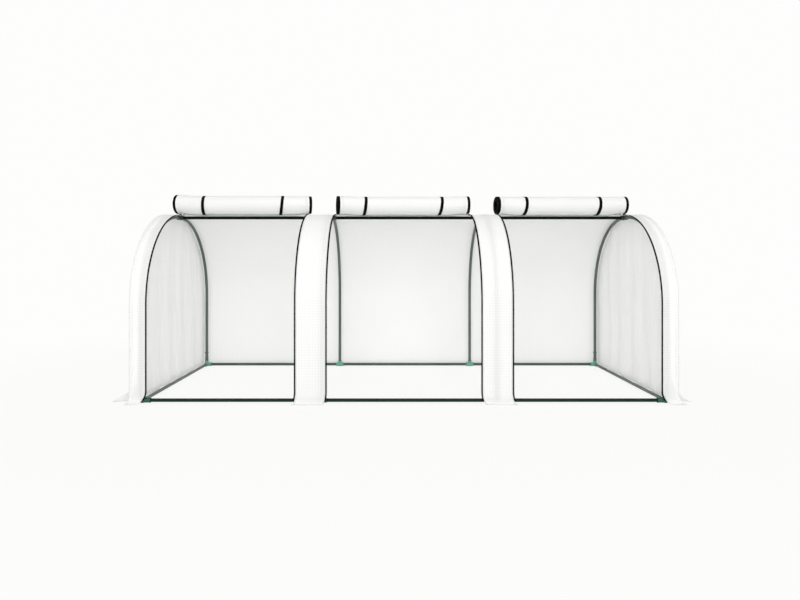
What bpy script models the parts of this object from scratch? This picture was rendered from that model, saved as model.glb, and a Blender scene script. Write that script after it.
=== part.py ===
"""Tunnel greenhouse: a low tube frame of four hoops under a white cover, with three roll-up doors.

X runs along the tunnel, the doors face -Y and Z is up. The origin is on the ground under the middle
of the tunnel. All lengths are in metres.
"""

import math

import bmesh
import bpy
from mathutils import Matrix, Vector

# Frame of bent and straight tubes
HOOP_PLACES = (-1.200, -0.377, 0.425, 1.200)  # along X, at the centres of the tubes
HALF_WIDTH = 0.458  # from the middle of the tunnel to the centre of a leg
LEG_LENGTH = 0.437  # from the base rails' axis up to the start of the bend
RIDGE_FLAT = 0.024  # half the straight length on top of a hoop
BEND_RADIUS = HALF_WIDTH - RIDGE_FLAT
BEND_STEPS = 16  # flats in a quarter turn
TUBE_RADIUS = 0.008
TUBE_WALL = 0.0006

# Widened foot of an end hoop's leg: heights above the base rails' axis, and radius over the tube's
FOOT_HEIGHTS = (0.0235, 0.0255, 0.0560, 0.0680, 0.0695, 0.0755, 0.0770)
FOOT_SWELLS = (1.00, 1.22, 1.06, 1.06, 1.38, 1.38, 1.00)

# Moulded connectors
SLEEVE_RADIUS = 0.0112
RIM_RADIUS = 0.0123
RIM_WIDTH = 0.003
SOCKET_REACH = 0.022  # from the connector's centre to a socket's mouth
SOCKET_FLOOR = 0.0095
ARM_STEP = 0.0002  # each further arm is this much thinner, so that no two share a face
CONNECTOR_SIDES = 12
SOCKET_SIDES = 8
HALF_FLAT = math.pi / CONNECTOR_SIDES

GAP = 0.0003  # between pieces that touch
MERGE = 0.00001

# Cover
COVER_THICKNESS = 0.0008
COVER_STAND_OFF = 0.0139  # from the tubes' centre line to the middle of the sheet
COVER_HALF_LENGTH = 1.2575
WALL_PLACE = 1.2285  # the end walls, close outside the end hoops
SKIRT_SPREAD = 0.036  # along the ground, front and back
FLAP_SPREAD = 0.089  # along the ground, at the ends
SKIRT_SHAPE = ((0.0, 0.045), (0.004, 0.018), (0.012, 0.0))  # outwards and height above the ground
WALL_FOLD_DEPTH = 0.006
WALL_FOLD_PITCH = 0.170
WALL_COLUMNS = 32
WALL_SHARES = (0.22, 0.50, 0.80, 1.0)  # rows of an end wall, as shares of its height

# Doors and zips
DOORS = ((-1.180, -0.501), (-0.356, 0.356), (0.501, 1.180))  # between the zips' centre lines
TAPE_WIDTH = 0.0080
TAPE_THICKNESS = 0.0020
ROLL_ENDS = ((-1.206, -0.492), (-0.344, 0.354), (0.502, 1.190))
ROLL_RADIUS = 0.050
ROLL_CLEARANCE = 0.006  # over the cover, room for the zip sliders
ROLL_PLACE = -0.018  # a little in front of the ridge, yet behind the bend's centre
ROLL_TURNS = 5
ROLL_PITCH = 0.0048
ROLL_SHEET = 0.0016
ROLL_STEPS = 16
ROLL_START = math.radians(-70)
STRAP_OFFSET = 0.205  # from the middle of a roll
STRAP_WIDTH = 0.015
STRAP_THICKNESS = 0.0018
STRAP_STEPS = 16

# Zip sliders: half sizes, and heights over the tubes' centre line
SLIDER_HALF_WIDTH = 0.0058
SLIDER_HALF_LENGTH = 0.007
SLIDER_BOTTOM = 0.0100
SLOT_BOTTOM = 0.0114
SLOT_TOP = 0.0153
SLIDER_TOP = 0.0170
PULL_TOP = 0.0182
PULL_HALF_WIDTH = 0.0025
PULL_LENGTH = 0.024
SLIDER_REST = math.radians(2.2)  # forward of the top, under the rolls

RAIL_HEIGHT = RIM_RADIUS * math.cos(HALF_FLAT)
BEND_HEIGHT = RAIL_HEIGHT + LEG_LENGTH  # the bends' centre
RIDGE_HEIGHT = BEND_HEIGHT + BEND_RADIUS
TUBE_END = SOCKET_FLOOR + GAP  # from a connector's centre to the end of a tube in it

FRONT = -1
BACK = 1


def clear_scene():
    for thing in list(bpy.data.objects):
        bpy.data.objects.remove(thing)


def new_collection(name):
    collection = bpy.data.collections.new(name)
    bpy.context.scene.collection.children.link(collection)
    return collection


def new_material(name, colour, roughness, metallic=0.0):
    material = bpy.data.materials.new(name)
    material.use_nodes = True
    shader = material.node_tree.nodes["Principled BSDF"]
    shader.inputs["Base Color"].default_value = (*colour, 1.0)
    shader.inputs["Roughness"].default_value = roughness
    shader.inputs["Metallic"].default_value = metallic
    material.diffuse_color = (*colour, 1.0)
    return material


clear_scene()
PARTS = new_collection("tunnel_greenhouse")
CUTTERS = new_collection("cutters")
COVER_WHITE = new_material("cover_white", (0.90, 0.91, 0.89), 0.50)
TUBE_GREEN = new_material("tube_green", (0.020, 0.045, 0.032), 0.40)
CONNECTOR_GREEN = new_material("connector_green", (0.12, 0.38, 0.26), 0.45)
ZIP_BLACK = new_material("zip_black", (0.015, 0.015, 0.016), 0.60)
STRAP_BLACK = new_material("strap_black", (0.010, 0.010, 0.011), 0.75)
SLIDER_GREY = new_material("slider_grey", (0.030, 0.030, 0.032), 0.35, 0.6)


def add_part(name, data, material):
    part = bpy.data.objects.new(name, data)
    data.materials.append(material)
    PARTS.objects.link(part)
    return part


def add_cutter(name, data):
    """A piece that is joined to a part or cut out of it, and then removed."""
    cutter = bpy.data.objects.new(name, data)
    CUTTERS.objects.link(cutter)
    cutter.hide_render = True
    cutter.display_type = "WIRE"
    return cutter


def combine(part, steps):
    """Joins or cuts the part with each operand in turn, and keeps the result as the part's own mesh."""
    for operation, operand in steps:
        modifier = part.modifiers.new(operation.lower(), "BOOLEAN")
        modifier.operation = operation
        modifier.object = operand
    graph = bpy.context.evaluated_depsgraph_get()
    mesh = bpy.data.meshes.new_from_object(part.evaluated_get(graph))
    part.modifiers.clear()
    part.data = mesh
    smooth(mesh)
    for _, operand in steps:
        bpy.data.objects.remove(operand)


def add_thickness(part, thickness, offset):
    """Solidify: an offset of -1 keeps the surface as the outside, 0 as the middle."""
    modifier = part.modifiers.new("thickness", "SOLIDIFY")
    modifier.thickness = thickness
    modifier.offset = offset
    modifier.use_even_offset = True


def smooth(mesh, degrees=40):
    mesh.shade_smooth()
    mesh.set_sharp_from_angle(angle=math.radians(degrees))


def tube(name, points, swells=None):
    """A hollow tube along points, swollen at each by its share of the tube's radius."""
    curve = bpy.data.curves.new(name, "CURVE")
    curve.dimensions = "3D"
    curve.bevel_depth = TUBE_RADIUS
    curve.bevel_resolution = 2
    line = curve.splines.new("POLY")
    line.points.add(len(points) - 1)
    for index, point in enumerate(points):
        line.points[index].co = (*point, 1.0)
        line.points[index].radius = swells[index] if swells else 1.0
    line.use_smooth = True
    part = add_part(name, curve, TUBE_GREEN)
    add_thickness(part, TUBE_WALL, -1)
    return part


def hoop_half(number, side):
    """Half a hoop, from the connector on the ridge round the bend and down into the base."""
    place = HOOP_PLACES[number]
    points = [(place, side * TUBE_END, RIDGE_HEIGHT)]
    for step in range(BEND_STEPS + 1):
        turn = math.radians(90 * step / BEND_STEPS)
        out = RIDGE_FLAT + BEND_RADIUS * math.sin(turn)
        points.append((place, side * out, BEND_HEIGHT + BEND_RADIUS * math.cos(turn)))
    swells = [1.0] * len(points)
    if number in (0, len(HOOP_PLACES) - 1):
        for height, swell in zip(reversed(FOOT_HEIGHTS), reversed(FOOT_SWELLS)):
            points.append((place, side * HALF_WIDTH, RAIL_HEIGHT + height))
            swells.append(swell)
    points.append((place, side * HALF_WIDTH, RAIL_HEIGHT + TUBE_END))
    swells.append(1.0)
    side_name = "front" if side == FRONT else "back"
    tube(f"hoop_{number + 1}_{side_name}_half", points, swells)


def rails():
    """The straight tubes: three lengths each on the ridge and both base sides, and two at the ends."""
    lines = {
        "ridge_tube": (0.0, RIDGE_HEIGHT),
        "front_rail": (FRONT * HALF_WIDTH, RAIL_HEIGHT),
        "back_rail": (BACK * HALF_WIDTH, RAIL_HEIGHT),
    }
    for name, (y, z) in lines.items():
        for bay in range(len(HOOP_PLACES) - 1):
            start = HOOP_PLACES[bay] + TUBE_END
            end = HOOP_PLACES[bay + 1] - TUBE_END
            tube(f"{name}_{bay + 1}", [(start, y, z), (end, y, z)])
    reach = HALF_WIDTH - TUBE_END
    for name, place in (("end_rail_left", HOOP_PLACES[0]), ("end_rail_right", HOOP_PLACES[-1])):
        tube(name, [(place, -reach, RAIL_HEIGHT), (place, reach, RAIL_HEIGHT)])


def along(direction, centre):
    """Places a piece turned about its own Z so that Z lies along direction, with a flat face down."""
    turn = Vector((0, 0, 1)).rotation_difference(Vector(direction)).to_matrix().to_4x4()
    return Matrix.Translation(centre) @ turn @ Matrix.Rotation(HALF_FLAT, 4, "Z")


def sleeve_mesh(name, through, order):
    """An arm's outer profile for Screw, with a rim at each mouth. A stub is blind behind the centre."""
    rim = RIM_RADIUS - order * ARM_STEP
    sleeve = SLEEVE_RADIUS - order * ARM_STEP
    neck = SOCKET_REACH - RIM_WIDTH
    profile = [(0, SOCKET_REACH), (rim, SOCKET_REACH), (rim, neck), (sleeve, neck)]
    if through:
        profile.extend([(radius, -height) for radius, height in reversed(profile)])
    else:
        back = -sleeve if order == 0 else -sleeve / 2
        profile.extend([(sleeve, back), (0, back)])
    bm = bmesh.new()
    corners = [bm.verts.new((radius, 0, height)) for radius, height in profile]
    for first, second in zip(corners, corners[1:]):
        bm.edges.new((first, second))
    mesh = bpy.data.meshes.new(name)
    bm.to_mesh(mesh)
    bm.free()
    return mesh


def add_screw(part):
    modifier = part.modifiers.new("turned", "SCREW")
    modifier.steps = CONNECTOR_SIDES
    modifier.render_steps = CONNECTOR_SIDES
    modifier.use_merge_vertices = True
    modifier.merge_threshold = MERGE
    modifier.use_smooth_shade = False


def socket_cutter(name, centre, directions):
    """The blind holes that take the tubes, one along each direction."""
    bore = (TUBE_RADIUS + GAP) / math.cos(math.pi / SOCKET_SIDES)
    depth = SOCKET_REACH - SOCKET_FLOOR + RIM_WIDTH
    bm = bmesh.new()
    for direction in directions:
        middle = Vector(centre) + Vector(direction) * (SOCKET_FLOOR + depth / 2)
        bmesh.ops.create_cone(
            bm,
            cap_ends=True,
            segments=SOCKET_SIDES,
            radius1=bore,
            radius2=bore,
            depth=depth,
            matrix=along(direction, middle),
        )
    mesh = bpy.data.meshes.new(name)
    bm.to_mesh(mesh)
    bm.free()
    return add_cutter(name, mesh)


def connector(name, centre, sockets, through=()):
    """A moulded connector: through sleeves and single sockets joined at the centre, then bored."""
    arms = [(direction, True) for direction in through]
    arms += [(direction, False) for direction in sockets]
    bores = list(sockets)
    for direction in through:
        bores.append(direction)
        bores.append(tuple(-value for value in direction))
    pieces = []
    for index, (direction, is_through) in enumerate(arms):
        mesh = sleeve_mesh(f"{name}_arm_{index}", is_through, index)
        arm = add_cutter(mesh.name, mesh) if index else add_part(name, mesh, CONNECTOR_GREEN)
        arm.matrix_world = along(direction, centre)
        add_screw(arm)
        pieces.append(arm)
    steps = [("UNION", arm) for arm in pieces[1:]]
    steps.append(("DIFFERENCE", socket_cutter(f"{name}_bores", centre, bores)))
    combine(pieces[0], steps)


def connectors():
    """Corners and tees on the base, and tees and crosses on the ridge."""
    up = (0, 0, 1)
    for side, side_name in ((FRONT, "front"), (BACK, "back")):
        y = side * HALF_WIDTH
        inwards = (0, -side, 0)
        for place, towards, end in ((HOOP_PLACES[0], 1, "left"), (HOOP_PLACES[-1], -1, "right")):
            centre = (place, y, RAIL_HEIGHT)
            connector(f"corner_{side_name}_{end}", centre, ((towards, 0, 0), inwards, up))
        for number in (1, 2):
            centre = (HOOP_PLACES[number], y, RAIL_HEIGHT)
            connector(f"base_tee_{side_name}_{number + 1}", centre, (up,), through=((1, 0, 0),))
    for place, towards, end in ((HOOP_PLACES[0], 1, "left"), (HOOP_PLACES[-1], -1, "right")):
        centre = (place, 0, RIDGE_HEIGHT)
        connector(f"ridge_tee_{end}", centre, ((towards, 0, 0),), through=((0, 1, 0),))
    for number in (1, 2):
        centre = (HOOP_PLACES[number], 0, RIDGE_HEIGHT)
        connector(f"ridge_cross_{number + 1}", centre, (), through=((1, 0, 0), (0, 1, 0)))


def outline(thickness, stand_off=COVER_STAND_OFF):
    """The cover's line from the top of the ridge down one side: distance from the middle, height."""
    radius = BEND_RADIUS + stand_off
    line = []
    for step in range(BEND_STEPS + 1):
        turn = math.radians(90 * step / BEND_STEPS)
        line.append((RIDGE_FLAT + radius * math.sin(turn), BEND_HEIGHT + radius * math.cos(turn)))
    leg = HALF_WIDTH + stand_off
    for out, height in SKIRT_SHAPE:
        line.append((leg + out, max(height, thickness / 2)))
    line.append((leg + SKIRT_SPREAD, thickness / 2))
    return line


def sheet(name, columns, rows, place, thickness, material):
    """A grid with a corner at place(column, row) for each pair, given its thickness."""
    bm = bmesh.new()
    column_steps = len(columns) - 1
    row_steps = len(rows) - 1
    bmesh.ops.create_grid(bm, x_segments=column_steps, y_segments=row_steps, size=1.0)
    for corner in bm.verts:
        column = round((corner.co.x + 1) / 2 * column_steps)
        row = round((corner.co.y + 1) / 2 * row_steps)
        corner.co = place(columns[column], rows[row])
    mesh = bpy.data.meshes.new(name)
    bm.to_mesh(mesh)
    bm.free()
    smooth(mesh)
    part = add_part(name, mesh, material)
    add_thickness(part, thickness, 0)
    return part


def roof_and_back():
    """One sheet from the seam in front of the ridge, over the top and down the back."""
    line = outline(COVER_THICKNESS)
    rows = [(-RIDGE_FLAT, line[0][1])] + line
    ends = (-COVER_HALF_LENGTH, COVER_HALF_LENGTH)
    sheet("roof_and_back_sheet", ends, rows, lambda x, row: (x, *row), COVER_THICKNESS, COVER_WHITE)


def front_strip(name, ends, thickness, material):
    """A strip down the front from the ridge seam to the skirt, between two places along X."""
    rows = outline(thickness)
    rows[0] = (RIDGE_FLAT + 2 * GAP, rows[0][1])
    sheet(name, ends, rows, lambda x, row: (x, -row[0], row[1]), thickness, material)


def front_bands_and_tapes():
    """The fixed strips beside and between the doors, with a zip tape along each door."""
    zips = [place for door in DOORS for place in door]
    half_tape = TAPE_WIDTH / 2
    for number, place in enumerate(zips):
        ends = (place - half_tape, place + half_tape)
        front_strip(f"zip_tape_{number + 1}", ends, TAPE_THICKNESS, ZIP_BLACK)
    clear = half_tape + GAP
    bands = (
        (-COVER_HALF_LENGTH, zips[0] - clear),
        (zips[1] + clear, zips[2] - clear),
        (zips[3] + clear, zips[4] - clear),
        (zips[5] + clear, COVER_HALF_LENGTH),
    )
    for number, ends in enumerate(bands):
        front_strip(f"front_band_{number + 1}", ends, COVER_THICKNESS, COVER_WHITE)


def end_wall(name, side):
    """A D-shaped wall that hangs in upright folds beside the end hoop and spreads on the ground."""
    inner = COVER_STAND_OFF - COVER_THICKNESS / 2
    flat_share = math.cos(math.radians(90 / BEND_STEPS / 2))
    radius = (BEND_RADIUS + inner) * flat_share - 2 * GAP
    edge = RIDGE_FLAT + radius

    def top(y):
        out = max(abs(y) - RIDGE_FLAT, 0.0)
        return BEND_HEIGHT + math.sqrt(max(radius**2 - out**2, 0.0))

    def place(y, row):
        out, height, share = row
        rise = (top(y) - height) * share
        across = 1 - (y / edge) ** 4
        fold = WALL_FOLD_DEPTH * across * (1 - 0.6 * share) * math.cos(2 * math.pi * y / WALL_FOLD_PITCH)
        return (side * (WALL_PLACE + out + fold), y, height + rise)

    ground = COVER_THICKNESS / 2
    knee = SKIRT_SHAPE[1]
    rows = [(FLAP_SPREAD, ground, 0), (SKIRT_SHAPE[2][0], ground, 0), (knee[0], knee[1], 0)]
    rows += [(0, knee[1], share) for share in WALL_SHARES]
    columns = []
    for step in range(WALL_COLUMNS + 1):
        columns.append(edge * math.sin(math.pi * (step / WALL_COLUMNS - 0.5)))
    sheet(name, columns, rows, place, COVER_THICKNESS, COVER_WHITE)


def pivot(name, place):
    """An empty on the bend's centre line, which carries what travels round the bend."""
    empty = bpy.data.objects.new(name, None)
    empty.location = (place, -RIDGE_FLAT, BEND_HEIGHT)
    PARTS.objects.link(empty)
    return empty


def extruded(name, outlines, length, material):
    """A flat shape in Y and Z, given as closed outlines and drawn out along X."""
    curve = bpy.data.curves.new(name, "CURVE")
    curve.dimensions = "2D"
    curve.fill_mode = "BOTH"
    curve.extrude = length / 2
    for points in outlines:
        line = curve.splines.new("POLY")
        line.points.add(len(points) - 1)
        for index, (y, z) in enumerate(points):
            line.points[index].co = (y, z, 0.0, 1.0)
        line.use_cyclic_u = True
    part = add_part(name, curve, material)
    part.rotation_euler = (math.pi / 2, 0, math.pi / 2)
    return part


def spiral():
    """The rolled sheet's edge: round its outer face to the middle, and back along its inner face."""
    steps = ROLL_TURNS * ROLL_STEPS
    faces = ([], [])
    for face, inset in zip(faces, (0.0, ROLL_SHEET)):
        for step in range(steps + 1):
            turn = step / ROLL_STEPS
            radius = ROLL_RADIUS - inset - ROLL_PITCH * turn
            angle = ROLL_START + 2 * math.pi * turn
            face.append((radius * math.cos(angle), radius * math.sin(angle)))
    return faces[0] + faces[1][::-1]


def circle(radius, steps):
    turns = [2 * math.pi * step / steps for step in range(steps)]
    return [(radius * math.cos(turn), radius * math.sin(turn)) for turn in turns]


def door(number):
    """A rolled door on the ridge, and its two straps, on the bend's centre line."""
    start, end = ROLL_ENDS[number]
    middle = (start + end) / 2
    holder = pivot(f"door_{number + 1}_pivot", middle)
    cover_top = BEND_RADIUS + COVER_STAND_OFF + COVER_THICKNESS / 2
    centre = (0, ROLL_PLACE + RIDGE_FLAT, cover_top + ROLL_CLEARANCE + ROLL_RADIUS)
    roll = extruded(f"door_roll_{number + 1}", [spiral()], end - start, COVER_WHITE)
    roll.parent = holder
    roll.location = centre
    inner = (ROLL_RADIUS + GAP) / math.cos(math.pi / STRAP_STEPS)
    rings = [circle(inner + STRAP_THICKNESS, STRAP_STEPS), circle(inner, STRAP_STEPS)]
    for side, side_name in ((-1, "left"), (1, "right")):
        strap = extruded(f"door_strap_{number + 1}_{side_name}", rings, STRAP_WIDTH, STRAP_BLACK)
        strap.parent = holder
        strap.location = (side * STRAP_OFFSET, centre[1], centre[2])


def box_mesh(name, low, high):
    bm = bmesh.new()
    bmesh.ops.create_cube(bm, size=1.0)
    size = Vector(high) - Vector(low)
    middle = (Vector(high) + Vector(low)) / 2
    for corner in bm.verts:
        corner.co = Vector([corner.co[axis] * size[axis] for axis in range(3)]) + middle
    mesh = bpy.data.meshes.new(name)
    bm.to_mesh(mesh)
    bm.free()
    return mesh


def zip_slider(number, place, door_side):
    """A slider that clasps its tape from the door's side, with its pull lying back over the roof."""
    name = f"zip_slider_{number + 1}"
    half = SLIDER_HALF_WIDTH
    body = box_mesh(
        name,
        (-half, -SLIDER_HALF_LENGTH, BEND_RADIUS + SLIDER_BOTTOM),
        (half, SLIDER_HALF_LENGTH, BEND_RADIUS + SLIDER_TOP),
    )
    pull = box_mesh(
        f"{name}_pull",
        (-PULL_HALF_WIDTH, -SLIDER_HALF_LENGTH / 2, BEND_RADIUS + SLIDER_TOP - 2 * GAP),
        (PULL_HALF_WIDTH, PULL_LENGTH, BEND_RADIUS + PULL_TOP),
    )
    slot_end = door_side * (TAPE_WIDTH / 2 + GAP)
    slot_mouth = -door_side * 2 * half
    slot = box_mesh(
        f"{name}_slot",
        (min(slot_end, slot_mouth), -2 * SLIDER_HALF_LENGTH, BEND_RADIUS + SLOT_BOTTOM),
        (max(slot_end, slot_mouth), 2 * SLIDER_HALF_LENGTH, BEND_RADIUS + SLOT_TOP),
    )
    slider = add_part(name, body, SLIDER_GREY)
    pull_piece = add_cutter(f"{name}_pull", pull)
    slot_piece = add_cutter(f"{name}_slot", slot)
    combine(slider, [("UNION", pull_piece), ("DIFFERENCE", slot_piece)])
    slider.location = (place, -RIDGE_FLAT, BEND_HEIGHT)
    slider.rotation_euler.x = SLIDER_REST


def build():
    for number in range(len(HOOP_PLACES)):
        hoop_half(number, FRONT)
        hoop_half(number, BACK)
    rails()
    connectors()
    roof_and_back()
    front_bands_and_tapes()
    end_wall("end_wall_left", -1)
    end_wall("end_wall_right", 1)
    for number in range(len(DOORS)):
        door(number)
    for number, place in enumerate([place for ends in DOORS for place in ends]):
        zip_slider(number, place, 1 if number % 2 == 0 else -1)


build()
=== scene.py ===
# %% [markdown]
# # A tunnel greenhouse in Blender
#
# A tunnel greenhouse is a low frame of steel hoops under a cover of woven white sheet. This one
# stands on the ground and has three doors along its front, each rolled up onto the ridge and held
# by two straps. The lesson dresses a finished CAD model: the packed frame says where every piece
# is and how it moves, and each cell below makes one piece of it finer.
#
# The frame comes in first. Each CAD node already rides on its body, so a piece made at the same
# place and hung on the same body moves with it.

import math

import bmesh
import bpy
import numpy as np
from mathutils import Matrix, Vector


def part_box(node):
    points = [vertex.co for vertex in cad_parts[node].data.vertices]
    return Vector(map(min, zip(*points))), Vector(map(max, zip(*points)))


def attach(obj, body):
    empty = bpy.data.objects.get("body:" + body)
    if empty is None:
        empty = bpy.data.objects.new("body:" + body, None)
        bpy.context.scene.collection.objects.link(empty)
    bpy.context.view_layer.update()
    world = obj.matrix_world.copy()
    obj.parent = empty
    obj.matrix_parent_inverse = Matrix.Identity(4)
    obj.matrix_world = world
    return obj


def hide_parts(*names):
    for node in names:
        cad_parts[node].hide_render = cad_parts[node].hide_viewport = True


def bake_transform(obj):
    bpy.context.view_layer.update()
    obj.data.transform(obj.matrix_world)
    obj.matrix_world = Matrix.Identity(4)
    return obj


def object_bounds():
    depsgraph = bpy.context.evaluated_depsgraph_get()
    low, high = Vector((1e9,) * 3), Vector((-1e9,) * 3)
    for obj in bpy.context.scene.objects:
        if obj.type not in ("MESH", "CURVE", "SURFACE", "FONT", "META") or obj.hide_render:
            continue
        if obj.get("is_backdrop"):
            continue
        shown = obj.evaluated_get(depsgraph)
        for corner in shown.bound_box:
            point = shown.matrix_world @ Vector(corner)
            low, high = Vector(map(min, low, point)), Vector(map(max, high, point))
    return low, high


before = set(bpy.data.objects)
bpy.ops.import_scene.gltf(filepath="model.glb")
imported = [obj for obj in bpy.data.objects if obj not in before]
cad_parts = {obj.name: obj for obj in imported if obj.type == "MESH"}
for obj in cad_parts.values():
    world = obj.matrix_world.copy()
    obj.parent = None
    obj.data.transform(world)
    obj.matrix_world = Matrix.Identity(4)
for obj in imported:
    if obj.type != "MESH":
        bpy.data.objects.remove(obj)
cad_box = [list(corner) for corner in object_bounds()]
print("nodes:", len(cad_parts), "in a box of", [round(high - low, 3) for low, high in zip(*cad_box)])

# %% [markdown]
# ## The sizes that many pieces share
#
# X runs along the tunnel, the doors face -Y and Z is up. The hoops are half circles with a short
# flat top and straight legs. The cover follows them a little further out, so both are drawn from
# the same bend centre. The doors and their zip sliders turn about that same line.

# %% Sizes in metres
HOOP_PLACES = (-1.200, -0.377, 0.425, 1.200)
HALF_WIDTH = 0.458
RIDGE_FLAT = 0.024
BEND_RADIUS = HALF_WIDTH - RIDGE_FLAT
RAIL_HEIGHT = 0.01188
BEND_HEIGHT = 0.44888
RIDGE_HEIGHT = BEND_HEIGHT + BEND_RADIUS
TUBE_RADIUS = 0.008
TUBE_START = 0.0098  # each tube starts this far from the middle of its connector
COVER_RADIUS = BEND_RADIUS + 0.0139
COVER_HALF_LENGTH = 1.2575
# both ends of each door along X, at the zips and as it is rolled up
DOORS = ((-1.180, -0.501), (-0.356, 0.356), (0.501, 1.180))
ROLL_ENDS = ((-1.206, -0.489), (-0.350, 0.354), (0.502, 1.194))
FRAME_BODY = "frame_and_cover"

low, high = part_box("hoop_1_back_half")
print("hoop 1 reaches out to", round(high.y, 4), "and up to", round(high.z, 4))

# %% [markdown]
# ## The camera
#
# The camera stands level in front of the doors, a little to the left of the middle. A level camera
# keeps upright tubes upright in the picture, and a small shift frames the tunnel without tilting.

# %% Camera
FOCAL_PIXELS = 577.0
PICTURE_WIDTH = 800
lens = bpy.data.cameras.new("level_camera")
lens.lens = 36.0 * FOCAL_PIXELS / PICTURE_WIDTH
lens.shift_x = 0.010
lens.shift_y = -0.050
camera = bpy.data.objects.new("level_camera", lens)
camera.location = (-0.055, -3.11, 0.656)
camera.rotation_euler = (math.radians(90), 0, 0)
bpy.context.scene.collection.objects.link(camera)
bpy.context.scene.camera = camera
bpy.context.scene.view_settings.view_transform = "Standard"
print("lens", round(lens.lens, 2), "mm")

# %% [markdown]
# ## Sums on sockets
#
# A finish is worked out by many small nodes. They could be placed one by one, which takes five
# lines for each sum. Here a small class wraps a socket and takes part in plain arithmetic, so a
# weave reads as a formula. A second class makes every other node from its type, its settings and
# the values of its sockets. Both serve the shapes made by Geometry Nodes too.

# %% A value that takes part in sums
class Value:
    """A node's output that can be used in arithmetic and handed on to other nodes."""

    def __init__(self, graph, socket):
        self.graph = graph
        self.socket = socket

    def sum_of(self, operation, first, second=0.0):
        return self.graph.node("ShaderNodeMath", {"operation": operation}, {0: first, 1: second})

    def __add__(self, other):
        return self.sum_of("ADD", self, other)

    def __sub__(self, other):
        return self.sum_of("SUBTRACT", self, other)

    def __rsub__(self, other):
        return self.sum_of("SUBTRACT", other, self)

    def __mul__(self, other):
        return self.sum_of("MULTIPLY", self, other)

    def __truediv__(self, other):
        return self.sum_of("DIVIDE", self, other)

    def __rtruediv__(self, other):
        return self.sum_of("DIVIDE", other, self)

    __radd__ = __add__
    __rmul__ = __mul__

    def at_least(self, floor):
        return self.sum_of("MAXIMUM", self, floor)

    def at_most(self, ceiling):
        return self.sum_of("MINIMUM", self, ceiling)

    def fraction(self):
        return self.sum_of("FRACT", self)

    def size(self):
        return self.sum_of("ABSOLUTE", self)

    def sine(self):
        return self.sum_of("SINE", self)

    def cosine(self):
        return self.sum_of("COSINE", self)

    def ramp(self, start, end, smooth=True):
        """0 before start and 1 after end."""
        settings = {"interpolation_type": "SMOOTHSTEP" if smooth else "LINEAR"}
        return self.graph.node("ShaderNodeMapRange", settings, {0: self, 1: start, 2: end})


print("operations on a value:", sum(callable(part) for part in vars(Value).values()))

# %% A graph that makes the nodes
class Graph:
    """A node tree that is built one node at a time."""

    def __init__(self, tree):
        self.tree = tree

    def node(self, kind, settings=None, inputs=None, output=0):
        made = self.tree.nodes.new(kind)
        for name, setting in (settings or {}).items():
            setattr(made, name, setting)
        for name, value in (inputs or {}).items():
            if isinstance(value, Value):
                self.tree.links.new(value.socket, made.inputs[name])
            else:
                made.inputs[name].default_value = value
        return Value(self, made.outputs[output]) if made.outputs else None

    def parts(self, point, count=3):
        """The first numbers of a vector, each by itself."""
        return [self.node("ShaderNodeSeparateXYZ", inputs={0: point}, output=part) for part in range(count)]

    def place(self):
        """A place on the piece itself, in metres."""
        return self.node("ShaderNodeTexCoord", output="Object")

    def cloth_place(self):
        """A place on the cloth's own UV map, and how far it is across and along the cloth in metres."""
        cloth = self.node("ShaderNodeUVMap", {"uv_map": "cloth"})
        return cloth, self.parts(cloth, 2)

    def wave(self, run, pitch):
        """A sine wave of that pitch, from -1 to 1."""
        return (run * (2 * math.pi / pitch)).sine()

    def noise(self, point, scale, detail=2.0, roughness=0.5):
        inputs = {"Vector": point, "Scale": scale, "Detail": detail, "Roughness": roughness}
        return self.node("ShaderNodeTexNoise", inputs=inputs)

    def tint(self, share, first, second):
        """A colour between two, by share."""
        inputs = {0: share, 6: (*first, 1.0) if isinstance(first, tuple) else first, 7: (*second, 1.0)}
        return self.node("ShaderNodeMix", {"data_type": "RGBA"}, inputs, output=2)

    def relief(self, height, distance, strength=1.0):
        inputs = {"Strength": strength, "Distance": distance, "Height": height}
        return self.node("ShaderNodeBump", inputs=inputs)

    def shader(self, **inputs):
        """A Principled shader, whose sockets are given with _ for each space."""
        named = {name.replace("_", " "): value for name, value in inputs.items()}
        return self.node("ShaderNodeBsdfPrincipled", inputs=named)

    def wear(self, shader):
        """Puts the shader on the material's surface."""
        self.node("ShaderNodeOutputMaterial", inputs={"Surface": shader})


def new_finish(name):
    """An empty material and its graph."""
    material = bpy.data.materials.new(name)
    material.use_nodes = True
    material.node_tree.nodes.clear()
    return material, Graph(material.node_tree)


print("what a graph can make:", ", ".join(name for name in vars(Graph) if name[0] != "_"))

# %% [markdown]
# ## The ground and the light
#
# The tunnel stands on a plain pale floor in a plain pale room. The room lights the object evenly
# and a few large soft lamps give it shape. For the camera, mirrors and glass the room shows as a
# pale wall, whatever its strength as a light. The floor is mostly that same pale tone to the
# camera, and far from the tunnel wholly so, which leaves a soft shadow and no horizon.

# %% Floor
BACKDROP = 0.985
FLOOR_NEAR = 0.88  # how much of the floor is the backdrop's tone near the tunnel
FAR_FLOOR = (1.6, 3.6)  # between these distances it becomes wholly so
FLOOR_REACH = 60.0


def seen(graph):
    """1 where the camera, a mirror or glass looks at it."""
    path = graph.tree.nodes.new("ShaderNodeLightPath")
    rays = ("Is Camera Ray", "Is Glossy Ray", "Is Transmission Ray")
    camera_ray, glossy_ray, glass_ray = [Value(graph, path.outputs[ray]) for ray in rays]
    return (camera_ray + glossy_ray + glass_ray).at_most(1.0)


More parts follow.
